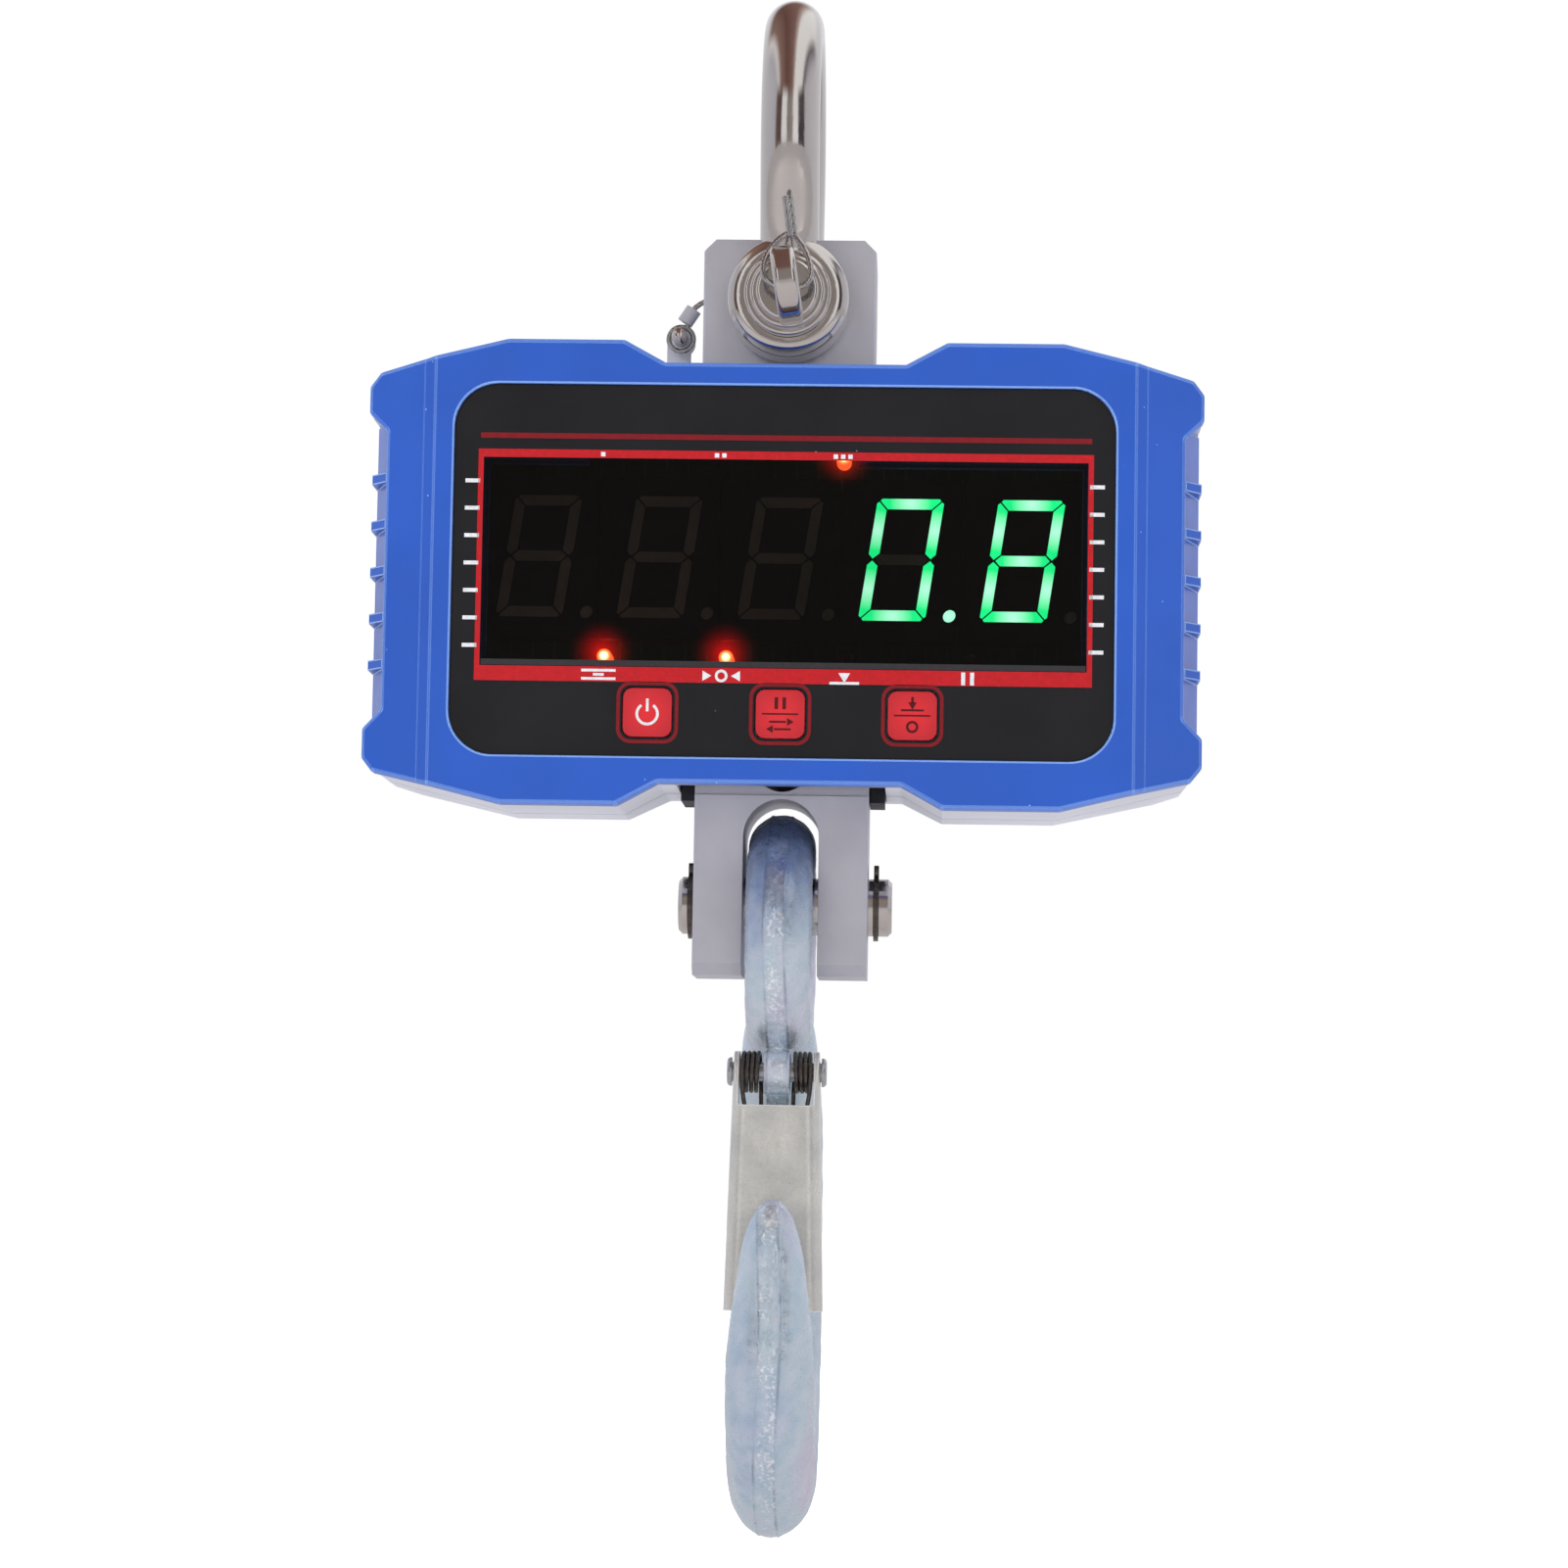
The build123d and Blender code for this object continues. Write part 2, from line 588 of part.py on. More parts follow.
def tact_switches():
    switches = []
    for x in KEY_CENTRES.values():
        body = block((x - 3, x + 3), (BOARD_Y[0] - 3.5, BOARD_Y[0]), (KEY_Z - 3, KEY_Z + 3))
        switches.append(body + rod("Y", (x, KEY_Z), 1.7, (SWITCH_TIP_Y, BOARD_Y[0] - 3)))
    return switches


def front_housing():
    back = PARTING_Y - GASKET / 2
    outer = slab(case_outline(0.5, notched=False), (BEZEL_BACK_Y, back))
    front = [(0, BEZEL_BACK_Y + 0.02), (70.6, BEZEL_BACK_Y + 0.02), (86.5, -20.68), (86.5, back), (0, back)]
    outer = outer & prism_z(mirrored_profile(front), (-60, 60))
    cavity = slab(case_outline(0.5 + WALL, notched=False), (BEZEL_BACK_Y + WALL, back))
    bound = [(0, -23.5), (68, -23.5), (80, -19.0), (83, -19.0), (83, back), (0, back)]
    cavity = cavity & prism_z(mirrored_profile(bound), (-60, 60))
    grip_z = grown((GRIP_BOTTOM_Z, GRIP_TOP_Z), 3.2)
    for side in (-1, 1):
        cavity -= block(sorted((side * 75.0, side * 90)), (-30, -5.4), (-34.6, 35.0))
        outer -= block(sorted((side * 77.4, side * 90)), (-30, GRIP_BACK_Y + 0.1), grip_z)
    body = outer - cavity
    for x, z in CASE_BOSSES:
        body += rod("Y", (x, z), 3.4, (BEZEL_BACK_Y + 1, back)) & outer
    for x, z in BOARD_SCREWS:
        body += rod("Y", (x, z), 2.6, (BEZEL_BACK_Y + 1, BOARD_Y[0] - 0.02))
    body = cell_openings(body, (BEZEL_BACK_Y + 0.5, back))
    tools = [block((-62.8, 62.8), (-30, -23), (-20.5, 28.0))]
    for x in KEY_CENTRES.values():
        tools.append(rod("Y", (x, KEY_Z), 3.0, (-30, -23)))
    for x, z in CASE_BOSSES:
        tools.append(rod("Y", (x, z), M3_R + 0.01, (-12, 1)))
    for x, z in BOARD_SCREWS:
        tools.append(rod("Y", (x, z), 1.26, (-22, -16)))
    for x, z in BEZEL_SCREWS:
        tools.append(rod("Y", (x, z), 1.4, (-30, -16)))
        tools.append(rod("Y", (x, z), 2.5, (-23.6, -14)))
    return cut_all(body, tools)


SEAL_STEP_Z = 40.7


def cell_openings(body, y):
    """Sunk pads in the top and bottom walls with the openings that the load cell passes through."""
    for side in (-1, 1):
        pad_z = sorted((side * (SEAL_STEP_Z - 2.3), side * (RECESS_Z - 0.6)))
        body += block((-24, 24), (max(y[0], -25.0), min(y[1], 17.0)), pad_z)
        sunk_z = sorted((side * SEAL_STEP_Z, side * 50))
        body -= block((-21.4, 21.4), (max(y[0], -25.5), min(y[1], 14.6)), sunk_z)
        body -= block((-18.5, 18.5), (max(y[0], -12.5), min(y[1], 12.5)), sorted((side * 30, side * 50)))
    return body


def rear_shape(inset, y):
    """The rear half's form: straight sides, then slopes down to the flat back."""
    body = slab(case_outline(0.5 + inset, notched=False), y)
    front, back = y
    bend_z, back_z = 48.5 - inset, 40.0 - inset
    upper = [(back, back_z), (12 - inset, bend_z), (front, 50)]
    lower = [(y_at, -z_at) for y_at, z_at in reversed(upper)]
    body = body & prism_x(lower + upper, (-90, 90))
    top_view = [(0, front), (90, front), (86 - inset, 9.5), (76 - inset, back), (0, back)]
    return body & prism_z(mirrored_profile(top_view), (-60, 60))


DOOR_X = (-75.0, -20.6)
DOOR_Z = (-36.5, 36.5)
DOOR_THICK = 2.0
DOOR_SCREWS = [(-71.8, 0.0), (-23.8, 0.0)]
DOOR_CORNER_BOSSES = [place for place in CASE_BOSSES if place[0] < -60]
DOOR_CORNER_R = 4.9
HOLDER_X = (-68.6, -28.0)
SOCKET_AT = (48.0, -20.0)
FLAP_PIVOT = (20.6, -8.0)
MAIN_BOARD_X = (27.0, 69.0)
MAIN_BOARD_Y = (9.0, 10.6)
MAIN_BOARD_SCREWS = [(x, z) for x in (31.0, 65.0) for z in (-27.0, 27.0)]
BUZZER_AT = (56.0, 12.0)
LUG_X = (-26.4, -21.5)
LUG_Y = (4.0, 8.0)
TETHER_SCREW_XZ = (-23.5, 54.2)


def rear_housing():
    front = PARTING_Y + GASKET / 2
    body = rear_shape(0, (front, BACK_Y))
    body -= rear_shape(WALL, (front, BACK_WALL_Y))
    for x, z in CASE_BOSSES:
        body += rod("Y", (x, z), 4.4, (front, BACK_WALL_Y + 0.5))
    for x, z in DOOR_SCREWS:
        body += rod("Y", (x, z), 3.0, (9.0, BACK_WALL_Y + 0.5))
    for x, z in MAIN_BOARD_SCREWS:
        body += rod("Y", (x, z), 2.8, (MAIN_BOARD_Y[1] + 0.02, BACK_WALL_Y + 0.5))
    for side in (-1, 1):
        body += rod("Y", (side * BRACKET_BOSS_X, BRACKET_Z), 2.9, (14.02, BACK_WALL_Y + 0.5))
    body = cell_openings(body, (front, 17.0))
    body += block(LUG_X, LUG_Y, (RECESS_Z - 2.0, TETHER_SCREW_XZ[1]))
    body += rod("Y", TETHER_SCREW_XZ, 2.9, LUG_Y)
    body = body & (rear_shape(0, (front, BACK_Y)) + block((-30, 0), (3, 9), (40, 60)))
    tools = [block((-66, -30), (15, 30), (-33, 33))]
    pocket = block(grown(DOOR_X, 0.25), (BACK_Y - DOOR_THICK, 30), grown(DOOR_Z, 0.25))
    for place in DOOR_CORNER_BOSSES:
        pocket -= rod("Y", place, DOOR_CORNER_R - 0.25, (15, 31))
    tools.append(pocket)
    for x, z in DOOR_SCREWS:
        tools.append(rod("Y", (x, z), M3_R + 0.1, (8, 30)))
    for x, z in CASE_BOSSES:
        tools.append(rod("Y", (x, z), 3.2, (8.0, 30)))
        tools.append(rod("Y", (x, z), M3_R + 0.2, (-1, 12)))
    for x, z in MAIN_BOARD_SCREWS:
        tools.append(rod("Y", (x, z), 1.26, (10, 17)))
    for side in (-1, 1):
        tools.append(rod("Y", (side * BRACKET_BOSS_X, BRACKET_Z), 1.26, (13, 18)))
    tools.append(rod("Y", TETHER_SCREW_XZ, 1.31, (3, 9)))
    x, z = SOCKET_AT
    tools.append(rod("Y", SOCKET_AT, 4.6, (15, 30)))
    tools.append(slab(rounded_rectangle((x - 7.2, x + 7.2), (z - 7.2, FLAP_PIVOT[1] + 2.4), 3.0), (19.9, 30)))
    for across in (-3, 0, 3):
        for above in (-3, 0, 3):
            tools.append(rod("Y", (BUZZER_AT[0] + across, BUZZER_AT[1] + above), 0.9, (15, 30)))
    return cut_all(body, tools)


def housing_gaskets():
    """A strip in the parting line on each side of the load cell."""
    y = (PARTING_Y - GASKET / 2 + 0.02, PARTING_Y + GASKET / 2 - 0.02)
    ring = slab(case_outline(0.8, notched=False), y)
    ring -= slab(case_outline(2.4, notched=False), grown(y, 1))
    return [ring & block(sorted((side * 24.5, side * 90)), (-2, 2), (-50, 50)) for side in (-1, 1)]


def cell_seals():
    """Rubber collars round the load cell, with thick pads at the sides of the lower one."""
    seals = []
    for side in (-1, 1):
        z = sorted((side * (SEAL_STEP_Z + 0.02), side * (SEAL_STEP_Z + 0.8)))
        seal = block((-21.2, 21.2), (-14.4, 14.4), z)
        if side < 0:
            seal += block((-21.2, 21.2), (-5, 12), (-44.6, -SEAL_STEP_Z - 0.5))
        seal -= block((-18.1, 18.1), (-12.1, 12.1), (-60, 60))
        seals.append(seal)
    return seals


def screw(x, z, radius, head_radius, seat_y, tip_y, head_height):
    """A pan-head screw along Y whose head sits at seat_y, away from the tip."""
    away = 1 if seat_y > tip_y else -1
    head = rod("Y", (x, z), head_radius, sorted((seat_y, seat_y + away * head_height)))
    socket_y = sorted((seat_y + away * head_height * 0.45, seat_y + away * 9))
    socket = rod("Y", (x, z), head_radius * 0.45, socket_y)
    return head - socket + rod("Y", (x, z), radius, sorted((seat_y, tip_y)))


def case_screws():
    return [screw(x, z, M3_R, M3_HEAD_R, 8.0, -11.0, 2.4) for x, z in CASE_BOSSES]


def bezel_screws():
    return [screw(x, z, 1.18, 2.2, -23.5, -28.2, 1.6) for x, z in BEZEL_SCREWS]


def display_board_screws():
    return [screw(x, z, 1.25, 2.2, BOARD_Y[1], -21.0, 1.6) for x, z in BOARD_SCREWS]


def main_board_screws():
    return [screw(x, z, 1.25, 2.2, MAIN_BOARD_Y[0], 16.5, 1.6) for x, z in MAIN_BOARD_SCREWS]


def display_board():
    board = block((-69, 69), BOARD_Y, (-36, 31))
    for x, z in BOARD_SCREWS:
        board -= rod("Y", (x, z), 1.35, (-18, -12))
    return board


def main_board():
    board = block(MAIN_BOARD_X, MAIN_BOARD_Y, (-31, 31))
    for x, z in MAIN_BOARD_SCREWS:
        board -= rod("Y", (x, z), 1.35, (5, 15))
    return board


def digit_modules():
    """Five moulded seven-segment blocks side by side."""
    y = (DIGIT_FACE_Y, BOARD_Y[0] - 0.02)
    centres = [FIRST_DIGIT_X + DIGIT_PITCH * number for number in range(5)]
    return [block((x - 12.1, x + 12.1), y, (DIGIT_Z - 17, DIGIT_Z + 16.5)) for x in centres]


def indicator_leds():
    lamps = []
    for xs, z in ((LAMPS_BELOW, LAMP_BELOW_Z), (LAMPS_ABOVE, LAMP_ABOVE_Z)):
        for x in xs:
            lamp = rod("Y", (x, z), 1.5, (DIGIT_FACE_Y, BOARD_Y[0] - 0.02))
            lamp += Pos(x, DIGIT_FACE_Y, z) * Sphere(1.5)
            lamps.append(lamp)
    return lamps


def measuring_chip():
    return block((38, 48), (MAIN_BOARD_Y[0] - 1.5, MAIN_BOARD_Y[0] - 0.02), (-3, 7))


def buzzer():
    body = rod("Y", BUZZER_AT, 6.0, (MAIN_BOARD_Y[1] + 0.02, BACK_WALL_Y - 0.4))
    return body - rod("Y", BUZZER_AT, 1.0, (15, 20))


def charge_socket():
    """A barrel socket that reaches into the opening in the back."""
    x, z = SOCKET_AT
    body = block((x - 4.5, x + 4.5), (MAIN_BOARD_Y[1] + 0.02, 17.0), (z - 5, z + 5))
    body += rod("Y", SOCKET_AT, 4.2, (16, 19.6))
    body -= rod("Y", SOCKET_AT, 2.9, (12.5, 20))
    return body + rod("Y", SOCKET_AT, 0.8, (12, 18.6))


def charge_plug():
    """A soft flap with a shallow nose, on a strap that turns about its upper end."""
    x, z = SOCKET_AT
    y = (20.1, 21.6)
    disc = rod("Y", SOCKET_AT, 6.4, y)
    strap = block((x - 3, x + 3), y, (z, FLAP_PIVOT[1]))
    pivot = rod("X", FLAP_PIVOT, 0.7, (x - 6.2, x + 6.2))
    pivot += rod("X", (20.85, FLAP_PIVOT[1]), 0.75, (x - 3, x + 3))
    nose = rod("Y", SOCKET_AT, 3.8, (19.7, 20.5))
    return joined([disc, strap, pivot, nose])


def battery_holder():
    outer = block(HOLDER_X, (-4.5, 18.6), (-36.4, 36.4))
    inner = block((HOLDER_X[0] + 1.5, HOLDER_X[1] - 1.5), (-3.0, 20), (-35, 35))
    return outer - inner


CELL_XS = (-57.65, -38.95)
BATTERY_Y = 8.2


def battery_cells():
    cells = []
    for x in CELL_XS:
        body = rod("Z", (x, BATTERY_Y), 9.1, (-32.5, 31.6))
        body = fillet(body.edges().filter_by(GeomType.CIRCLE), 0.8)
        cells.append(body + rod("Z", (x, BATTERY_Y), 2.8, (31.4, 32.6)))
    return cells


def battery_contacts():
    """A sprung plate at the lower end of each cell and a dimpled one at the upper end."""
    contacts = []
    for x in CELL_XS:
        for plate_z, button_r, button_z in (
            ((-34.9, -34.4), 3.0, (-34.5, -32.55)),
            ((34.4, 34.9), 2.0, (32.65, 34.5)),
        ):
            plate = block((x - 5, x + 5), (3.2, 13.2), plate_z)
            contacts.append(plate + rod("Z", (x, BATTERY_Y), button_r, button_z))
    return contacts


def battery_door():
    y = (BACK_Y - DOOR_THICK + 0.02, BACK_Y)
    door = slab(rounded_rectangle(DOOR_X, DOOR_Z, 2.0), y)
    for place in DOOR_CORNER_BOSSES:
        door -= rod("Y", place, DOOR_CORNER_R, grown(y, 1))
    for x, z in DOOR_SCREWS:
        door -= rod("Y", (x, z), M3_R + 0.1, (10, 30))
        door -= rod("Y", (x, z), 3.0, (BACK_Y - 1.3, 30))
    return door


def door_screws():
    return [screw(x, z, M3_R, 2.8, BACK_Y - 1.28, 12.0, 1.2) for x, z in DOOR_SCREWS]


def cell_bracket():
    z = BRACKET_Z
    plate = block((-24.6, 24.6), (12.02, 14.0), (z - 6, z + 6))
    for side in (-1, 1):
        plate -= rod("Y", (side * BRACKET_SCREW_X, z), 2.1, (10, 16))
        plate -= rod("Y", (side * BRACKET_BOSS_X, z), 1.4, (10, 16))
    return plate


def bracket_cell_screws():
    return [screw(side * BRACKET_SCREW_X, BRACKET_Z, 1.99, 3.5, 14.0, 4.5, 3.2) for side in (-1, 1)]


def bracket_case_screws():
    return [screw(side * BRACKET_BOSS_X, BRACKET_Z, 1.25, 2.2, 12.0, 17.5, 1.4) for side in (-1, 1)]


def load_cell_cable():
    """From the gauges' silicone to the main board."""
    start = (CELL_WIDTH / 2 + 0.45, 0, -14)
    end = (29.5, MAIN_BOARD_Y[0] - 0.05, -12)
    return wire_through([start, (22.5, 1.5, -13.5), (25.0, 4.5, -12.5), end], 1.1, ((1, 0, 0), (0, 1, 0)))


def battery_lead():
    """From the battery holder, behind the load cell, to the main board."""
    behind_cell = [(-15, 16.4, -29), (0, 16.5, -30), (15, 16.4, -29)]
    return wire_through([(-27.9, 16.0, -28), *behind_cell, (26.0, 14.2, -20), (28.6, 12.2, -16)], 1.2)


def board_ribbon():
    ends = (52, BOARD_Y[1] + 0.05, 16), (54, MAIN_BOARD_Y[0] - 0.05, 16)
    path = Spline(ends[0], (58, -6, 16), (59, 2, 16), ends[1], tangents=((0, 1, 0), (0, 1, 0)))
    section = Plane(origin=path @ 0, x_dir=(0, 0, 1), z_dir=path % 0) * Rectangle(12, 0.5)
    return sweep(section, path=path)


# ---- Retaining wire at the upper left of the load cell ------------------------------------------

TETHER_Y = 1.0
TETHER_WIRE_R = 0.55
FERRULE_ENDS = ((-22.6, 57.4), (-20.7, 60.3))


def tether_cable():
    """A thin rope from the load cell's side hole, through the ferrule, round its screw and back."""
    x, z = TETHER_SCREW_XZ
    hole_to_ferrule = [(-14.0, 62.2), (-18.4, 62.0), (-20.5, 60.6), (-22.0, 58.4)]
    lead = wire_through([(px, TETHER_Y, pz) for px, pz in hole_to_ferrule], TETHER_WIRE_R)
    ring = Pos(x + 0.2, TETHER_Y, z - 0.3) * Rot(90, 0, 0) * Torus(2.6, TETHER_WIRE_R)
    link = wire_through([(-22.0, TETHER_Y, 58.5), (x + 1.5, TETHER_Y, z + 2.1)], TETHER_WIRE_R)
    return joined([lead, link, ring])


def tether_ferrule():
    (x0, z0), (x1, z1) = FERRULE_ENDS
    path = Line((x0, TETHER_Y, z0), (x1, TETHER_Y, z1))
    section = Plane(origin=path @ 0, z_dir=path % 0, x_dir=(0, 1, 0)) * Ellipse(1.3, 1.7)
    hole = Plane(origin=path @ 0, z_dir=path % 0) * Circle(TETHER_WIRE_R + 0.02)
    sleeve = extrude(section, amount=path.length, dir=tuple(path % 0))
    return sleeve - tether_cable() - extrude(hole, amount=path.length, dir=tuple(path % 0))


def tether_screw():
    x, z = TETHER_SCREW_XZ
    head = Pos(x, -1.0, z) * Sphere(1.75) & block((x - 3, x + 3), (-4, -0.6), (z - 3, z + 3))
    return head + rod("Y", TETHER_SCREW_XZ, 1.3, (-0.7, 7.6))


# ---- Writing -------------------------------------------------------------------------------------


def solids_of(shape):
    """A flat list of solids, whether a builder gave one shape or several."""
    shapes = shape if isinstance(shape, list) else [shape]
    return [solid for item in shapes for solid in item.solids()]


def write(name, shape, lift=0.0):
    moved = [Pos(0, 0, lift) * solid for solid in solids_of(shape)]
    body = moved[0] if len(moved) == 1 else Compound(children=moved)
    export_step(body, os.path.join("parts", name + ".step"))


PLACED = [shackle_bow, shackle_pin, mousing_wire, load_cell, strain_gauges, gauge_covers]
ON_HOOK_PIN = [hook_pin, pin_circlips, hook, latch_rivet, latch, latch_spring]
IN_CASE = [
    front_bezel,
    front_housing,
    rear_housing,
    housing_gaskets,
    cell_seals,
    case_screws,
    bezel_screws,
    cell_bracket,
    bracket_cell_screws,
    bracket_case_screws,
    battery_door,
    door_screws,
    charge_plug,
    panel_overlay,
    display_window,
    tact_switches,
    digit_modules,
    indicator_leds,
    display_board,
    display_board_screws,
    main_board,
    main_board_screws,
    measuring_chip,
    buzzer,
    charge_socket,
    battery_cells,
    battery_holder,
    battery_contacts,
    load_cell_cable,
    board_ribbon,
    battery_lead,
    tether_cable,
    tether_ferrule,
    tether_screw,
]

os.makedirs("parts", exist_ok=True)
for build in PLACED:
    write(build.__name__, build())
for build in ON_HOOK_PIN:
    write(build.__name__, build(), HOOK_PIN_Z)
for build in IN_CASE:
    write(build.__name__, build(), CASE_Z)
for name, x in KEY_CENTRES.items():
    write(name, key(x), CASE_Z)
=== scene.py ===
import math

import bpy
from mathutils import Matrix, Vector, noise


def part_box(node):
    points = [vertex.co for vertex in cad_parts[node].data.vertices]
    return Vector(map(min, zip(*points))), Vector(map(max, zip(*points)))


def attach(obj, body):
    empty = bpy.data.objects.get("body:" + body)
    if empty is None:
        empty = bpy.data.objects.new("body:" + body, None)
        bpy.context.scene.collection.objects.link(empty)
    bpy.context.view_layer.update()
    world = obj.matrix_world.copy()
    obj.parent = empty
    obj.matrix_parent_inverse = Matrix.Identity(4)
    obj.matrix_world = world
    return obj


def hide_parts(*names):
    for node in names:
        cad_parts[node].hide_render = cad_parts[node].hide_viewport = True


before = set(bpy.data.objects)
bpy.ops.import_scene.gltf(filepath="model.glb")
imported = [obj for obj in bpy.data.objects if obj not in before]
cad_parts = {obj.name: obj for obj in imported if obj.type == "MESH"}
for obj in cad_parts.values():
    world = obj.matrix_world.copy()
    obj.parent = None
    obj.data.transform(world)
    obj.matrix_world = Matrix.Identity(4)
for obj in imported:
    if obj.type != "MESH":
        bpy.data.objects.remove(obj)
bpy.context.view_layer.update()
MM = 0.001


def millimetres(node):
    """A CAD node's lowest and highest corner, in millimetres."""
    low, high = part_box(node)
    return low / MM, high / MM


# ---- Where things are, in millimetres ------------------------------------------------------------

PRINT_Y = millimetres("panel_overlay")[0].y
WINDOW_LOW, WINDOW_HIGH = millimetres("display_window")
DIGITS_LOW, DIGITS_HIGH = millimetres("digit_modules")
LAMPS_LOW, LAMPS_HIGH = millimetres("indicator_leds")
DIGIT_FACE_Y = DIGITS_LOW.y
PIN_Z = sum(corner.z for corner in millimetres("hook_pin")) / 2
CASE_Z = sum(corner.z for corner in millimetres("front_bezel")) / 2

KEY_NODES = ("power_key", "hold_unit_key", "tare_zero_key")
KEY_BOXES = [millimetres(node) for node in KEY_NODES]
KEY_XS = [(low.x + high.x) / 2 for low, high in KEY_BOXES]
KEY_Z = (KEY_BOXES[0][0].z + KEY_BOXES[0][1].z) / 2
KEY_FACE_Y = KEY_BOXES[0][0].y

LAMP_R = 1.5
LAMP_PITCH = 25.0
LOWER_LAMP_Z = LAMPS_LOW.z + LAMP_R
UPPER_LAMP_Z = LAMPS_HIGH.z - LAMP_R
LOWER_LAMP_XS = [LAMPS_HIGH.x - LAMP_R - LAMP_PITCH * step for step in (3, 2, 1, 0)]
UPPER_LAMP_XS = (-37.0, -13.0, 12.0)
LIT_LAMPS = [(x, LOWER_LAMP_Z) for x in LOWER_LAMP_XS[:2]] + [(UPPER_LAMP_XS[2], UPPER_LAMP_Z)]

# The two raised lines that the forging dies leave along the hook, and their gentle wave.
FLASH_LINES = (-2.5, 1.7)
FLASH_WAVE = 0.5
FLASH_WAVE_LENGTH = 9.0


# ---- Materials -----------------------------------------------------------------------------------


def linear(colour):
    """A colour given as sRGB 0 to 255, as the linear values that shaders use."""
    def channel(value):
        share = value / 255
        return share / 12.92 if share <= 0.04045 else ((share + 0.055) / 1.055) ** 2.4
    return (*(channel(value) for value in colour), 1.0)


class NodeTree:
    """A shader's node tree, built up one node at a time."""

    def __init__(self, tree):
        self.tree = tree

    def node(self, kind, inputs=None, **settings):
        made = self.tree.nodes.new(kind)
        for name, value in settings.items():
            setattr(made, name, value)
        for socket, value in (inputs or {}).items():
            self.feed(made.inputs[socket], value)
        return made

    def feed(self, socket, value):
        if isinstance(value, bpy.types.NodeSocket):
            self.tree.links.new(value, socket)
        else:
            socket.default_value = value

    def mix(self, factor, first, second, blend="MIX"):
        made = self.node("ShaderNodeMixRGB", blend_type=blend)
        for socket, value in zip(made.inputs, (factor, first, second)):
            self.feed(socket, value)
        return made.outputs["Color"]

    def ramp(self, factor, shades):
        """A colour ramp through pairs of position and colour."""
        made = self.node("ShaderNodeValToRGB", {"Fac": factor})
        stops = made.color_ramp.elements
        stops[0].position, stops[0].color = shades[0]
        stops[1].position, stops[1].color = shades[-1]
        for position, colour in shades[1:-1]:
            stops.new(position).color = colour
        return made.outputs["Color"]


WAVES_PER_SCALE = 0.314
RIM_START = 0.05


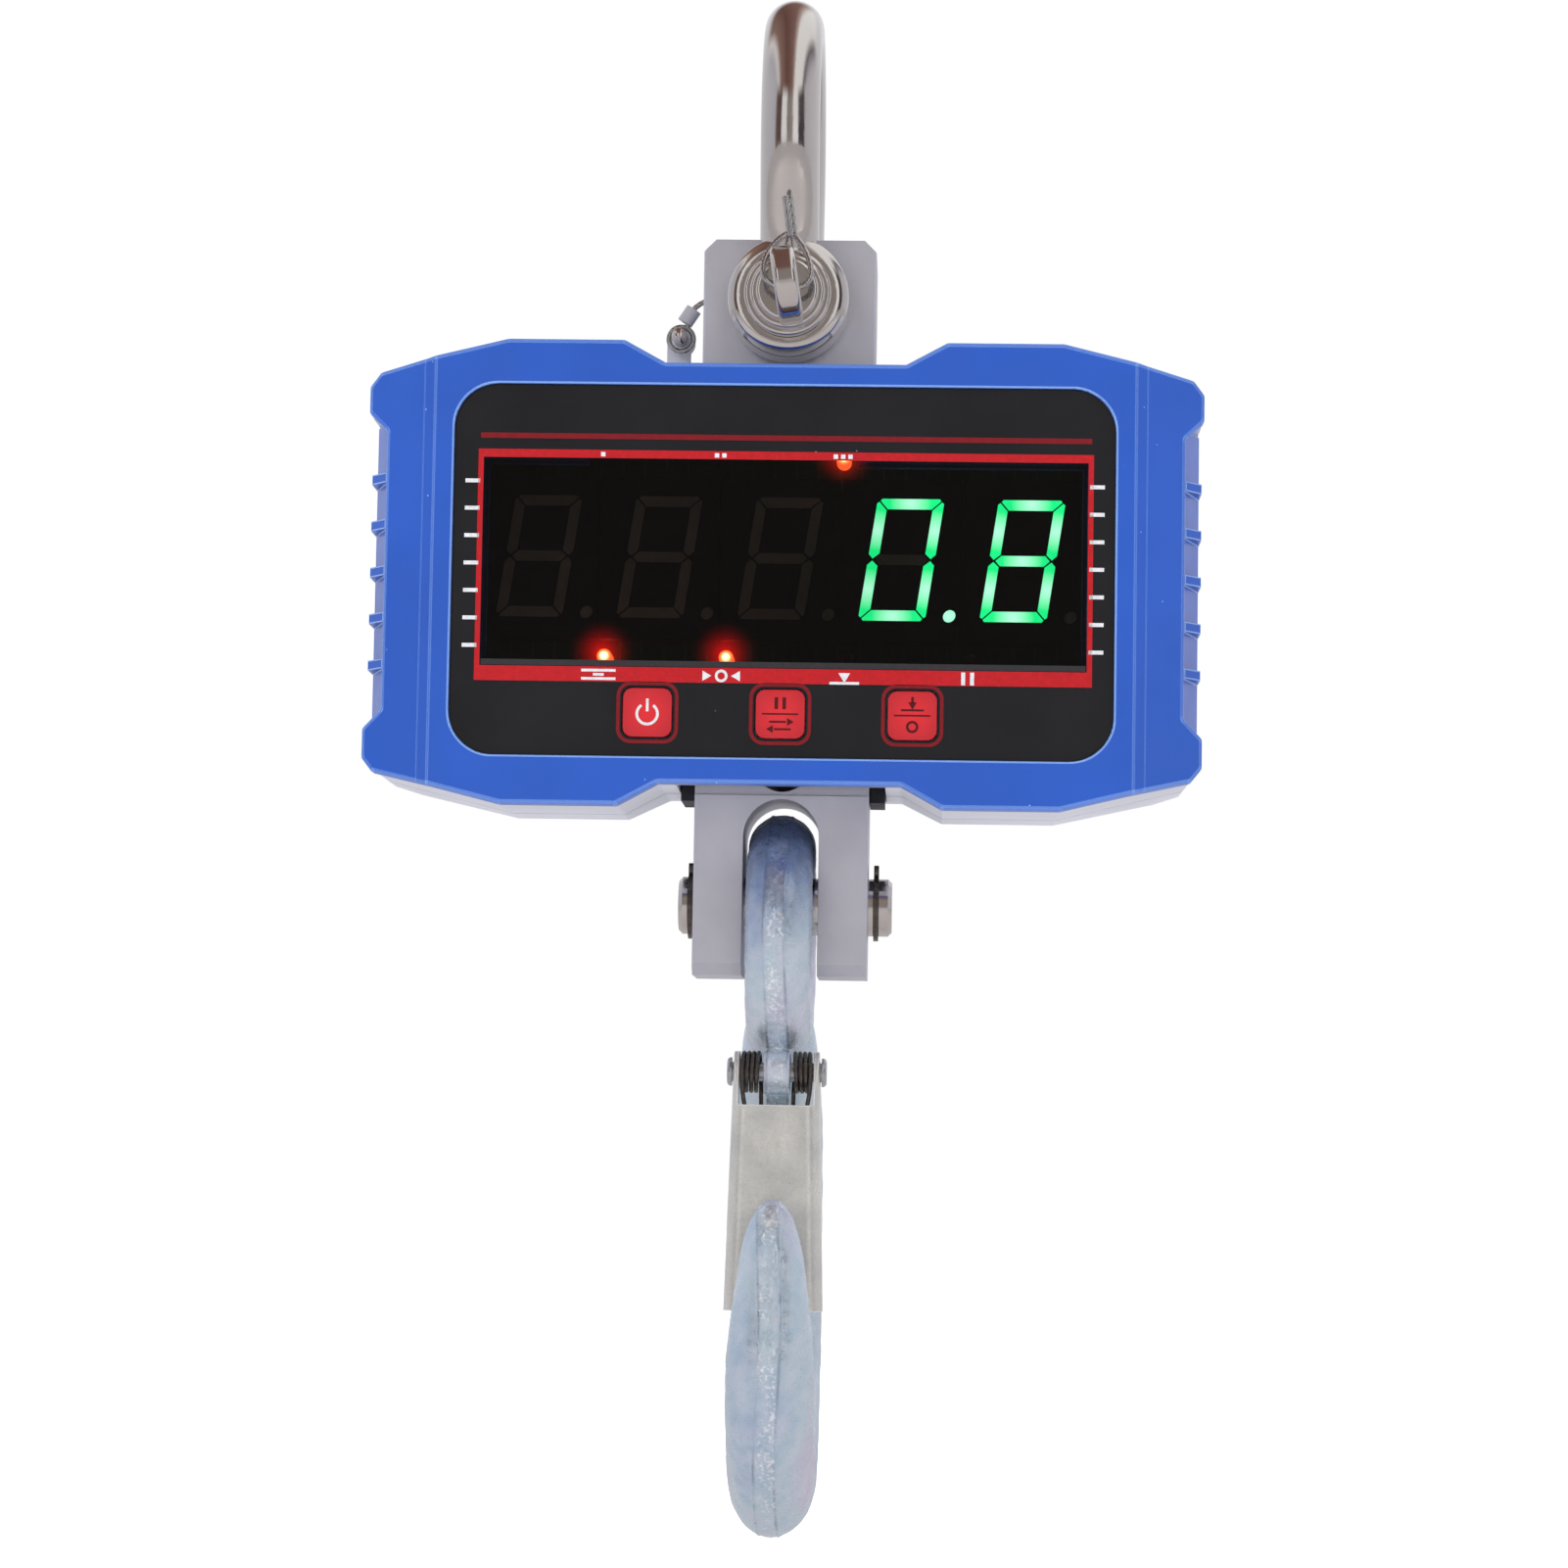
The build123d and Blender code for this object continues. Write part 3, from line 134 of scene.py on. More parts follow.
class Finish(NodeTree):
    """One material. Sizes are in millimetres."""

    def __init__(self, name, metallic=0.0):
        self.material = bpy.data.materials.new(name)
        self.material.use_nodes = True
        super().__init__(self.material.node_tree)
        self.shader = self.tree.nodes["Principled BSDF"]
        self.output = self.tree.nodes["Material Output"]
        self.shader.inputs["Metallic"].default_value = metallic
        self.place = self.node("ShaderNodeTexCoord").outputs["Object"]

    def stretched(self, stretch):
        return self.node("ShaderNodeMapping", {"Vector": self.place, "Scale": stretch}).outputs["Vector"]

    def noise(self, size, detail=3.0, stretch=(1, 1, 1)):
        inputs = {"Vector": self.stretched(stretch), "Scale": 1 / (size * MM), "Detail": detail}
        return self.node("ShaderNodeTexNoise", inputs).outputs["Fac"]

    def cells(self, size, feature="F1"):
        inputs = {"Vector": self.place, "Scale": 1 / (size * MM)}
        return self.node("ShaderNodeTexVoronoi", inputs, feature=feature).outputs["Distance"]

    def stripes(self, size, axis, distortion=0.0):
        inputs = {"Vector": self.place, "Scale": WAVES_PER_SCALE / (size * MM), "Distortion": distortion}
        return self.node("ShaderNodeTexWave", inputs, bands_direction=axis).outputs["Fac"]

    def span(self, value, source, target):
        """The value carried from one range to another, and held at its ends."""
        inputs = {"Value": value, "From Min": source[0], "From Max": source[1]}
        inputs.update({"To Min": target[0], "To Max": target[1]})
        return self.node("ShaderNodeMapRange", inputs).outputs["Result"]

    def varied(self, size, detail, target):
        """Noise that wanders between two values."""
        return self.span(self.noise(size, detail), (0.3, 0.7), target)

    def mottled(self, size, detail, first, second):
        """Noise between two sRGB colours."""
        return self.mix(self.noise(size, detail), linear(first), linear(second))

    def calculate(self, operation, first, second):
        return self.node("ShaderNodeMath", {0: first, 1: second}, operation=operation).outputs[0]

    def coordinate(self, axis):
        return self.node("ShaderNodeSeparateXYZ", {0: self.place}).outputs[axis]

    def along(self, axis, low, high):
        """0 below low and 1 above high on one axis of the frame, in millimetres."""
        return self.span(self.coordinate(axis), (low * MM, high * MM), (0, 1))

    def vector(self, operation, first, second):
        return self.node("ShaderNodeVectorMath", {0: first, 1: second}, operation=operation).outputs

    def near(self, points, radius, core=0.0):
        """1 within core of any X and Z point, falling to 0 at radius."""
        flat = self.vector("MULTIPLY", self.place, (1, 0, 1))["Vector"]
        total = 0.0
        for x, z in points:
            distance = self.vector("DISTANCE", flat, (x * MM, 0, z * MM))["Value"]
            share = self.span(distance, (core * MM, radius * MM), (1, 0))
            total = self.calculate("MAXIMUM", share, total)
        return total

    def rim(self, radius, full=0.93):
        """1 along edges within a radius in millimetres; a full nearer 1 takes in shallower creases."""
        rounded = self.node("ShaderNodeBevel", {"Radius": radius * MM}, samples=8).outputs["Normal"]
        true = self.node("ShaderNodeNewGeometry").outputs["Normal"]
        match = self.vector("DOT_PRODUCT", rounded, true)["Value"]
        slightest = 1 - (1 - full) * RIM_START
        return self.span(match, (slightest, full), (0, 1))

    def on_line(self, x, reach=0.45):
        """1 on a gently waving upright line at an X in millimetres, falling to 0 at reach."""
        phase = self.calculate("DIVIDE", self.coordinate("Z"), FLASH_WAVE_LENGTH * MM)
        wave = self.calculate("MULTIPLY", self.calculate("SINE", phase, 0), FLASH_WAVE * MM)
        straight = self.calculate("SUBTRACT", self.coordinate("X"), wave)
        offset = self.calculate("ABSOLUTE", self.calculate("SUBTRACT", straight, x * MM), 0)
        return self.span(offset, (0, reach * MM), (1, 0))

    def set(self, **values):
        for name, value in values.items():
            self.feed(self.shader.inputs[name.replace("_", " ")], value)

    def relief(self, height, strength=0.5, depth=0.1, edge=0.0):
        """Surface relief from a height pattern, on edges rounded by a small radius."""
        inputs = {"Height": height, "Strength": strength, "Distance": depth * MM}
        if edge:
            rounded = self.node("ShaderNodeBevel", {"Radius": edge * MM}, samples=6)
            inputs["Normal"] = rounded.outputs["Normal"]
        self.feed(self.shader.inputs["Normal"], self.node("ShaderNodeBump", inputs).outputs["Normal"])


def moulded_plastic(name, colour, roughness, grain=0.35, specks=None, coat=0.0, edge=0.3, painted_rim_highlights=None):
    """Spark-eroded moulded plastic; light specks, and painted highlights that make the edges paler,
    where they are given.
    """
    finish = Finish(name)
    shade = finish.noise(28, 2)
    dark = linear([value * 0.97 for value in colour])
    light = linear([min(255, value * 1.02) for value in colour])
    tint = finish.mix(finish.span(shade, (0.35, 0.65), (0, 1)), dark, light)
    if specks:
        dots = finish.span(finish.cells(3.4), (0.035, 0.06), (1, 0))
        chance = finish.span(finish.noise(5.5, 1), (0.56, 0.6), (0, 1))
        tint = finish.mix(finish.calculate("MULTIPLY", dots, chance), tint, linear(specks))
    # Painted highlight: edges and creases found by the bevel normal are mixed towards a paler colour.
    if painted_rim_highlights:
        tint = finish.mix(finish.calculate("MULTIPLY", finish.rim(0.4, 0.998), 0.8), tint, linear(painted_rim_highlights))
    worn = finish.noise(9, 4)
    wear = finish.span(worn, (0.3, 0.7), (roughness * 0.92, roughness * 1.1))
    finish.set(Base_Color=tint, Roughness=wear, Coat_Weight=coat, Coat_Roughness=0.12)
    finish.relief(finish.noise(grain, 2), 0.35, 0.03, edge)
    return finish.material


def bezel_blue():
    # The specks are dust; the paler rim colour is a painted highlight along the bezel's edges and
    # creases.
    specks_and_rim_highlights = {"specks": (150, 185, 240), "painted_rim_highlights": (150, 190, 246)}
    return moulded_plastic("bezel_blue", (28, 84, 184), 0.36, 0.3, coat=0.25, edge=0.35, **specks_and_rim_highlights)


def case_grey():
    return moulded_plastic("case_grey", (208, 210, 220), 0.42, 0.5)


def black_rubber():
    return moulded_plastic("black_rubber", (26, 26, 38), 0.6, 0.8)


def black_plastic():
    return moulded_plastic("black_plastic", (40, 40, 44), 0.5)


def silicone():
    return moulded_plastic("silicone", (225, 225, 222), 0.35, 2.0)


def cable_grey():
    return moulded_plastic("cable_grey", (120, 122, 128), 0.5, 0.6)


def display_body():
    return moulded_plastic("display_body", (16, 15, 15), 0.42, 0.3)


def overlay_black():
    """Printed film: fine matt texture, faint cloudiness and a few dust specks."""
    finish = Finish("overlay_black")
    cloud = finish.varied(22, 3, (0, 1))
    tint = finish.mix(cloud, linear((20, 20, 23)), linear((27, 26, 29)))
    dust = finish.span(finish.cells(4.2), (0.02, 0.04), (1, 0))
    rare = finish.span(finish.noise(7, 1), (0.6, 0.63), (0, 1))
    dusted = finish.mix(finish.calculate("MULTIPLY", dust, rare), tint, linear((150, 150, 155)))
    roughness = finish.varied(4, 4, (0.36, 0.46))
    finish.set(Base_Color=dusted, Roughness=roughness, Specular_IOR_Level=0.3)
    finish.relief(finish.noise(0.25, 2), 0.25, 0.02, 0.15)
    return finish.material


def ink(name, colour, roughness=0.4):
    """Screen-printed ink, slightly uneven in cover."""
    finish = Finish(name)
    cover = finish.varied(0.8, 4, (0, 1))
    tint = finish.mix(cover, linear([value * 0.9 for value in colour]), linear(colour))
    finish.set(Base_Color=tint, Roughness=roughness, Specular_IOR_Level=0.3)
    finish.relief(finish.noise(0.3, 2), 0.2, 0.02)
    return finish.material


def key_red():
    """Translucent red key cap, with a painted highlight that makes it brighter in its middle."""
    finish = Finish("key_red")
    # Painted highlight: each cap is mixed towards a brighter red round its middle.
    middle = finish.near([(x, KEY_Z) for x in KEY_XS], 7.0, 1.0)
    tint = finish.mix(middle, linear((176, 22, 34)), linear((214, 34, 42)))
    finish.set(Base_Color=tint, Roughness=finish.varied(2.5, 3, (0.34, 0.46)))
    finish.set(Subsurface_Weight=0.1, Subsurface_Radius=(0.002, 0.0004, 0.0004))
    finish.relief(finish.noise(0.3, 2), 0.3, 0.02, 0.25)
    return finish.material


LENS_IOR = 1.33


def smoked_lens():
    """A dark see-through filter with a soft red glow in front of the lit lamps.

    Its inner faces mirror nothing, or the display would go black when seen from the side."""
    finish = Finish("smoked_lens")
    haze = finish.varied(40, 3, (0.30, 0.36))
    tint = finish.node("ShaderNodeCombineColor", {"Red": haze, "Green": haze, "Blue": haze}).outputs[0]
    clear = finish.node("ShaderNodeBsdfTransparent", {"Color": tint}).outputs[0]
    smears = finish.varied(6, 3, (0.1, 0.2))
    gloss = finish.node("ShaderNodeBsdfGlossy", {"Roughness": smears}).outputs[0]
    inside = finish.node("ShaderNodeNewGeometry").outputs["Backfacing"]
    index = finish.span(inside, (0, 1), (LENS_IOR, 1.0))
    facing = finish.node("ShaderNodeFresnel", {"IOR": index}).outputs[0]
    surface = finish.node("ShaderNodeMixShader", {0: facing, 1: clear, 2: gloss}).outputs[0]
    fall = finish.near(LIT_LAMPS, 7.5)
    strength = finish.calculate("MULTIPLY", finish.calculate("POWER", fall, 3.0), 0.55)
    inputs = {"Color": linear((255, 8, 18)), "Strength": strength}
    glow = finish.node("ShaderNodeEmission", inputs).outputs[0]
    total = finish.node("ShaderNodeAddShader", {0: surface, 1: glow}).outputs[0]
    finish.tree.nodes.remove(finish.shader)
    finish.feed(finish.output.inputs["Surface"], total)
    return finish.material


LAMP_STRENGTH = 16.0


def lamp_clear():
    """Red lamp epoxy, lit from inside where the lamp is on."""
    finish = Finish("lamp_clear")
    heat = finish.near(LIT_LAMPS, 1.7, 0.2)
    shades = ((0.0, (255, 20, 20)), (0.4, (255, 120, 50)), (0.85, (255, 250, 190)))
    glow = finish.ramp(heat, [(place, linear(colour)) for place, colour in shades])
    epoxy = finish.mottled(2, 2, (70, 16, 16), (90, 22, 20))
    finish.set(Base_Color=epoxy, Roughness=0.25, Emission_Color=glow)
    finish.set(Emission_Strength=finish.span(heat, (0.0, 0.05), (0, LAMP_STRENGTH)))
    finish.relief(finish.noise(0.8, 2), 0.2, 0.02)
    return finish.material


def polished_steel(name="shackle_steel", roughness=0.1, colour=(214, 209, 205)):
    """Polished stainless steel with faint polishing haze and hairlines."""
    finish = Finish(name, 1.0)
    tint = finish.mix(finish.noise(14, 3), linear([value * 0.94 for value in colour]), linear(colour))
    haze = finish.span(finish.noise(5, 5), (0.35, 0.7), (roughness * 0.7, roughness * 1.7))
    finish.set(Base_Color=tint, Roughness=haze)
    ripple = finish.calculate("ADD", finish.noise(6, 2), finish.noise(0.4, 2, (1, 1, 0.1)))
    finish.relief(ripple, 0.12, 0.06, 0.15)
    return finish.material


def stainless_wire():
    finish = Finish("stainless_wire", 1.0)
    finish.set(Base_Color=finish.mottled(2, 3, (150, 150, 150), (205, 203, 200)))
    finish.set(Roughness=finish.varied(1, 3, (0.18, 0.35)))
    finish.relief(finish.stripes(0.8, "DIAGONAL", 1.0), 0.5, 0.1)
    return finish.material


def cell_aluminium():
    """Satin milled and clear-anodised aluminium with fine tool lines."""
    finish = Finish("cell_aluminium", 0.75)
    cloud = finish.varied(18, 4, (0, 1))
    tint = finish.mix(cloud, linear((196, 196, 205)), linear((212, 212, 220)))
    finish.set(Base_Color=tint, Roughness=finish.varied(3, 4, (0.38, 0.5)))
    lines = finish.noise(0.5, 3, (0.05, 1, 1))
    finish.relief(lines, 0.14, 0.05, 0.25)
    return finish.material


def zinc_forging():
    """Forged steel under bright zinc: bluish and lilac tints, fine pits, painted white specks of
    highlight between the flash lines, and painted dark blue shade over the eye in the block's slot.
    """
    finish = Finish("zinc_forging", 0.7)
    tints = ((0.36, (174, 192, 216)), (0.5, (192, 212, 222)), (0.66, (206, 200, 220)))
    blotches = finish.noise(24, 2, (1.4, 1, 0.5))
    passivated = finish.ramp(blotches, [(place, linear(colour)) for place, colour in tints])
    cloud = finish.span(finish.noise(3.2, 5), (0.35, 0.7), (0, 0.55))
    mottled = finish.mix(cloud, passivated, linear((222, 226, 236)))
    pits = finish.span(finish.noise(0.7, 5), (0.28, 0.4), (0.25, 0))
    patches = finish.span(finish.noise(11, 2), (0.45, 0.6), (0, 1))
    pitted = finish.mix(finish.calculate("MULTIPLY", pits, patches), mottled, linear((112, 124, 146)))
    left, right = FLASH_LINES
    parting = finish.calculate("MAXIMUM", finish.on_line(left), finish.on_line(right))
    broken = finish.span(finish.noise(6, 3), (0.4, 0.6), (0.1, 0.6))
    lined = finish.mix(finish.calculate("MULTIPLY", parting, broken), pitted, linear((120, 130, 150)))
    # Painted highlight: white specks in patches between the two flash lines.
    past_left, past_right = finish.along("X", left, left + 0.6), finish.along("X", right - 0.6, right)
    strip = finish.calculate("SUBTRACT", past_left, past_right)
    painted_glints = finish.span(finish.noise(0.7, 3), (0.52, 0.62), (0, 0.85))
    gathered = finish.span(finish.noise(9, 2), (0.45, 0.58), (0.1, 1))
    painted_sparkle = finish.calculate("MULTIPLY", finish.calculate("MULTIPLY", strip, painted_glints), gathered)
    bright = finish.mix(painted_sparkle, lined, linear((248, 250, 252)))
    # Painted shade: the eye, up in the block's slot, is mixed towards a dark blue.
    upper = finish.along("Z", PIN_Z - 10, PIN_Z + 14)
    painted_eye_shade = finish.mottled(2.2, 4, (20, 36, 82), (84, 116, 170))
    finish.set(Base_Color=finish.mix(finish.calculate("MULTIPLY", upper, 0.85), bright, painted_eye_shade))
    finish.set(Roughness=finish.varied(1.6, 5, (0.2, 0.46)))
    hammered = finish.calculate("MULTIPLY", finish.noise(2.6, 4), 1.8)
    finish.relief(finish.calculate("ADD", finish.noise(0.5, 5), hammered), 0.42, 0.15)
    return finish.material


def zinc_sheet():
    """Zinc-plated sheet steel: rolling grain, smudges, a warm tint and painted highlights that make its
    edges and bends brighter.
    """
    finish = Finish("zinc_sheet", 0.7)
    smudge = finish.varied(9, 4, (0, 1))
    tint = finish.mix(smudge, linear((204, 205, 200)), linear((232, 230, 222)))
    fine = finish.span(finish.noise(0.5, 4), (0.35, 0.7), (0, 0.3))
    grained = finish.mix(fine, tint, linear((176, 180, 180)))
    # Painted highlight: edges and bends found by the bevel normal are mixed towards near-white.
    finish.set(Base_Color=finish.mix(finish.rim(0.5), grained, linear((252, 252, 250))))
    finish.set(Roughness=finish.varied(2.4, 5, (0.26, 0.42)))
    finish.relief(finish.noise(0.4, 4, (1, 1, 0.25)), 0.25, 0.05, 0.2)
    return finish.material


def zinc_screw():
    finish = Finish("zinc_screw", 1.0)
    finish.set(Base_Color=finish.mottled(1.5, 3, (168, 172, 178), (205, 207, 208)))
    finish.set(Roughness=finish.varied(0.8, 4, (0.2, 0.38)))
    finish.relief(finish.noise(0.4, 3), 0.25, 0.04, 0.15)
    return finish.material


def spring_steel():
    finish = Finish("spring_steel", 1.0)
    finish.set(Base_Color=finish.mottled(0.8, 3, (62, 58, 56), (120, 114, 108)))
    finish.set(Roughness=finish.varied(0.5, 3, (0.24, 0.4)))
    finish.relief(finish.noise(0.25, 3), 0.2, 0.03)
    return finish.material


def circuit_board():
    """Green solder mask over copper tracks."""
    finish = Finish("circuit_board")
    inputs = {"Vector": finish.place, "Scale": 1 / (9 * MM), "Mortar Size": 0.03}
    tracks = finish.node("ShaderNodeTexBrick", inputs).outputs["Fac"]
    mask = finish.mix(tracks, linear((16, 84, 48)), linear((38, 120, 66)))
    finish.set(Base_Color=mask, Roughness=0.32)
    finish.relief(tracks, 0.3, 0.04)
    return finish.material


def cell_wrap():
    """Blue shrink sleeve, lightly creased round the cells."""
    finish = Finish("cell_wrap")
    finish.set(Base_Color=finish.mottled(12, 2, (30, 96, 150), (42, 118, 176)))
    finish.set(Roughness=finish.varied(5, 3, (0.2, 0.35)))
    finish.relief(finish.noise(6, 3, (1, 1, 0.3)), 0.3, 0.1)
    return finish.material


def gauge_foil():
    finish = Finish("gauge_foil")
    grid = finish.stripes(0.5, "Y")
    copper = finish.mix(grid, linear((196, 140, 60)), linear((150, 92, 40)))
    finish.set(Base_Color=copper, Roughness=0.3)
    finish.relief(grid, 0.3, 0.03)
    return finish.material


def spring_nickel():
    return polished_steel("spring_nickel", 0.2, (200, 196, 184))


FINISHES = {
    "shackle_steel": polished_steel,
    "cell_aluminium": cell_aluminium,
    "bezel_blue": bezel_blue,
    "case_grey": case_grey,
    "black_rubber": black_rubber,
    "overlay_black": overlay_black,
    "smoked_lens": smoked_lens,
    "key_red": key_red,
    "display_body": display_body,
    "lamp_clear": lamp_clear,
    "circuit_board": circuit_board,
    "black_plastic": black_plastic,
    "cell_wrap": cell_wrap,
    "zinc_screw": zinc_screw,
    "zinc_forging": zinc_forging,
    "zinc_sheet": zinc_sheet,
    "spring_steel": spring_steel,
    "stainless_wire": stainless_wire,
    "gauge_foil": gauge_foil,
    "silicone": silicone,
    "cable_grey": cable_grey,
    "spring_nickel": spring_nickel,
}
MATERIALS = {slot: make() for slot, make in FINISHES.items()}


def dress_cad_nodes():
    """Gives every CAD node the finish of its own material slot."""
    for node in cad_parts.values():
        for slot in node.material_slots:
            name = slot.material.name.split(".")[0]
            slot.link = "OBJECT"
            slot.material = MATERIALS[name]


# ---- Flat shapes, as loops of X and Z points in millimetres --------------------------------------


def arc_points(centre, radius, start, end, steps):
    """Points on an arc; angles in degrees, 0 to the right and 90 up."""
    points = []
    for step in range(steps + 1):
        angle = math.radians(start + (end - start) * step / steps)
        points.append((centre[0] + radius * math.cos(angle), centre[1] + radius * math.sin(angle)))
    return points


def circle(x, z, radius, steps=32):
    return arc_points((x, z), radius, 0, 360 - 360 / steps, steps - 1)


def arc_band(x, z, radius, width, start, end):
    """A stroke of even width along an arc."""
    outer = arc_points((x, z), radius + width / 2, start, end, 40)
    inner = arc_points((x, z), radius - width / 2, end, start, 40)
    return outer + inner


def box_loop(left, bottom, right, top):
    return [(left, bottom), (right, bottom), (right, top), (left, top)]


def rectangle(x, z, width, height):
    return box_loop(x - width / 2, z - height / 2, x + width / 2, z + height / 2)


def rounded_square(x, z, side, radius):
    """A square with round corners, counted from the upper right one."""
    reach = side / 2 - radius
    points = []
    for turn, (sx, sz) in enumerate(((1, 1), (-1, 1), (-1, -1), (1, -1))):
        points += arc_points((x + sx * reach, z + sz * reach), radius, 90 * turn, 90 * turn + 90, 8)
    return points


def triangle(x, z, size, turn):
    """A solid arrowhead pointing at an angle in degrees."""
    return arc_points((x, z), size, turn, turn + 240, 2)


def moved_loops(loops, x, z):
    return [[(px + x, pz + z) for px, pz in loop] for loop in loops]


def mesh_piece(name, mesh, material, body):
    """A mesh as a piece of one material that rides on a body."""
    piece = bpy.data.objects.new(name, mesh)
    bpy.context.scene.collection.objects.link(piece)
    mesh.materials.clear()
    mesh.materials.append(material)
    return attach(piece, body)


def flat_piece(name, loops, front_y, thickness, material, body):
    """A thin plate cut to the loops, with its front at front_y. A loop inside another is a hole."""
    curve = bpy.data.curves.new(name + "_outline", "CURVE")
    curve.dimensions = "2D"
    curve.fill_mode = "BOTH"
    curve.extrude = thickness * MM / 2
    for loop in loops:
        spline = curve.splines.new("POLY")
        spline.points.add(len(loop) - 1)
        for point, (x, z) in zip(spline.points, loop):
            point.co = (x * MM, z * MM, 0, 1)
        spline.use_cyclic_u = True
    outline = bpy.data.objects.new(name + "_outline", curve)
    bpy.context.scene.collection.objects.link(outline)
    depsgraph = bpy.context.evaluated_depsgraph_get()
    mesh = bpy.data.meshes.new_from_object(outline.evaluated_get(depsgraph))
    bpy.data.objects.remove(outline)
    upright = Matrix.Rotation(math.radians(90), 4, "X")
    mesh.transform(Matrix.Translation((0, (front_y + thickness / 2) * MM, 0)) @ upright)
    return mesh_piece(name, mesh, material, body)


# ---- Front panel printing ------------------------------------------------------------------------

PRINT_THICK = 0.05
WHITE = ink("white_ink", (232, 232, 234))
RED = ink("red_ink", (192, 22, 30))
DARK_RED = ink("dark_red_ink", (128, 16, 26))
KEY_SYMBOL = ink("key_symbol_ink", (84, 10, 18))
STRIP_GREY = ink("strip_grey_ink", (50, 49, 52))

WINDOW_X = (WINDOW_LOW.x + WINDOW_HIGH.x) / 2
WINDOW_WIDTH = WINDOW_HIGH.x - WINDOW_LOW.x
FRAME_GAP = 0.12
FRAME_SIDE = 1.2
FRAME_TOP = 1.8
FRAME_BOTTOM = 3.2
STRIP_HEIGHT = 1.2
STRIP_INSET = 0.1
LINE_Z = CASE_Z + 27.8
LINE_SIZE = (WINDOW_WIDTH + 1.6, 1.1)
TICKS = 7
TICK_PITCH = 5.64
TICK_TOP_Z = CASE_Z + 18.4
TICK_SIZE = (3.0, 0.8)
TICK_XS = {"left": WINDOW_LOW.x - 2.3, "right": WINDOW_HIGH.x + 1.95}
LOWER_SIGN_DROP = 0.15
LOWER_SIGN_SHIFT = 0.6
UNIT_DOT = 0.9
UNIT_DOT_PITCH = 1.5
KEY_RING_OUTER = (12.6, 2.9)
KEY_RING_INNER = (11.2, 2.3)


def panel_print(name, loops, material, coats=1):
    """A print on the overlay, lying on the coats of ink below it."""
    flat_piece(name, loops, PRINT_Y - coats * PRINT_THICK, PRINT_THICK, material, "scale_body")


def printed_frame():
    """Red frame round the window and the thin line above it."""
    low, high = WINDOW_LOW, WINDOW_HIGH
    left, right = low.x - FRAME_SIDE, high.x + FRAME_SIDE
    outer = box_loop(left, low.z - FRAME_BOTTOM, right, high.z + FRAME_TOP)
    inner = box_loop(low.x - FRAME_GAP, low.z - FRAME_GAP, high.x + FRAME_GAP, high.z + FRAME_GAP)
    panel_print("window_frame_print", [outer, inner], RED)
    panel_print("top_line_print", [rectangle(WINDOW_X, LINE_Z, *LINE_SIZE)], DARK_RED)


def window_strip():
    """A dark strip printed along the lens's lower edge."""
    width = WINDOW_WIDTH - 2 * STRIP_INSET
    strip = rectangle(WINDOW_X, WINDOW_LOW.z + STRIP_HEIGHT / 2, width, STRIP_HEIGHT)
    front = WINDOW_LOW.y - PRINT_THICK
    flat_piece("window_strip_print", [strip], front, PRINT_THICK, STRIP_GREY, "scale_body")


def side_ticks():
    """A column of short ticks each side of the window."""
    for side, x in TICK_XS.items():
        loops = [rectangle(x, TICK_TOP_Z - TICK_PITCH * step, *TICK_SIZE) for step in range(TICKS)]
        panel_print(side + "_tick_print", loops, WHITE)


def lamp_symbols():
    """Plain signs for steady, zero, tare and hold below the window, and for three units above it."""
    stroke = 0.55
    bars = [rectangle(0, offset, 7.0, stroke) for offset in (-0.85, 0.85)]
    heads = [triangle(-3.2, 0, 1.2, 0), triangle(3.2, 0, 1.2, 180)]
    signs = {
        "steady": bars + [rectangle(0, 0, 2.2, stroke)],
        "zero": [circle(0, 0, 1.3), circle(0, 0, 0.75)] + heads,
        "tare": [rectangle(0, -1.2, 6.0, stroke), triangle(0, 0.2, 1.35, 270)],
        "hold": [rectangle(offset, 0, 0.8, 2.6) for offset in (-0.9, 0.9)],
    }
    lower_z = WINDOW_LOW.z - FRAME_BOTTOM / 2 - LOWER_SIGN_DROP
    for (name, loops), x in zip(signs.items(), LOWER_LAMP_XS):
        panel_print(name + "_sign", moved_loops(loops, x - LOWER_SIGN_SHIFT, lower_z), WHITE, coats=2)
    upper_z = WINDOW_HIGH.z + FRAME_TOP / 2
    for count, x in enumerate(UPPER_LAMP_XS, 1):
        offsets = [UNIT_DOT_PITCH * (step - (count - 1) / 2) for step in range(count)]
        dots = [rectangle(x + offset, upper_z, UNIT_DOT, UNIT_DOT) for offset in offsets]
        panel_print(f"unit_{count}_sign", dots, WHITE, coats=2)


def key_rings():
    """A printed ring round each key."""
    for name, x in zip(KEY_NODES, KEY_XS):
        loops = [rounded_square(x, KEY_Z, *size) for size in (KEY_RING_OUTER, KEY_RING_INNER)]
        panel_print(name + "_ring_print", loops, DARK_RED)


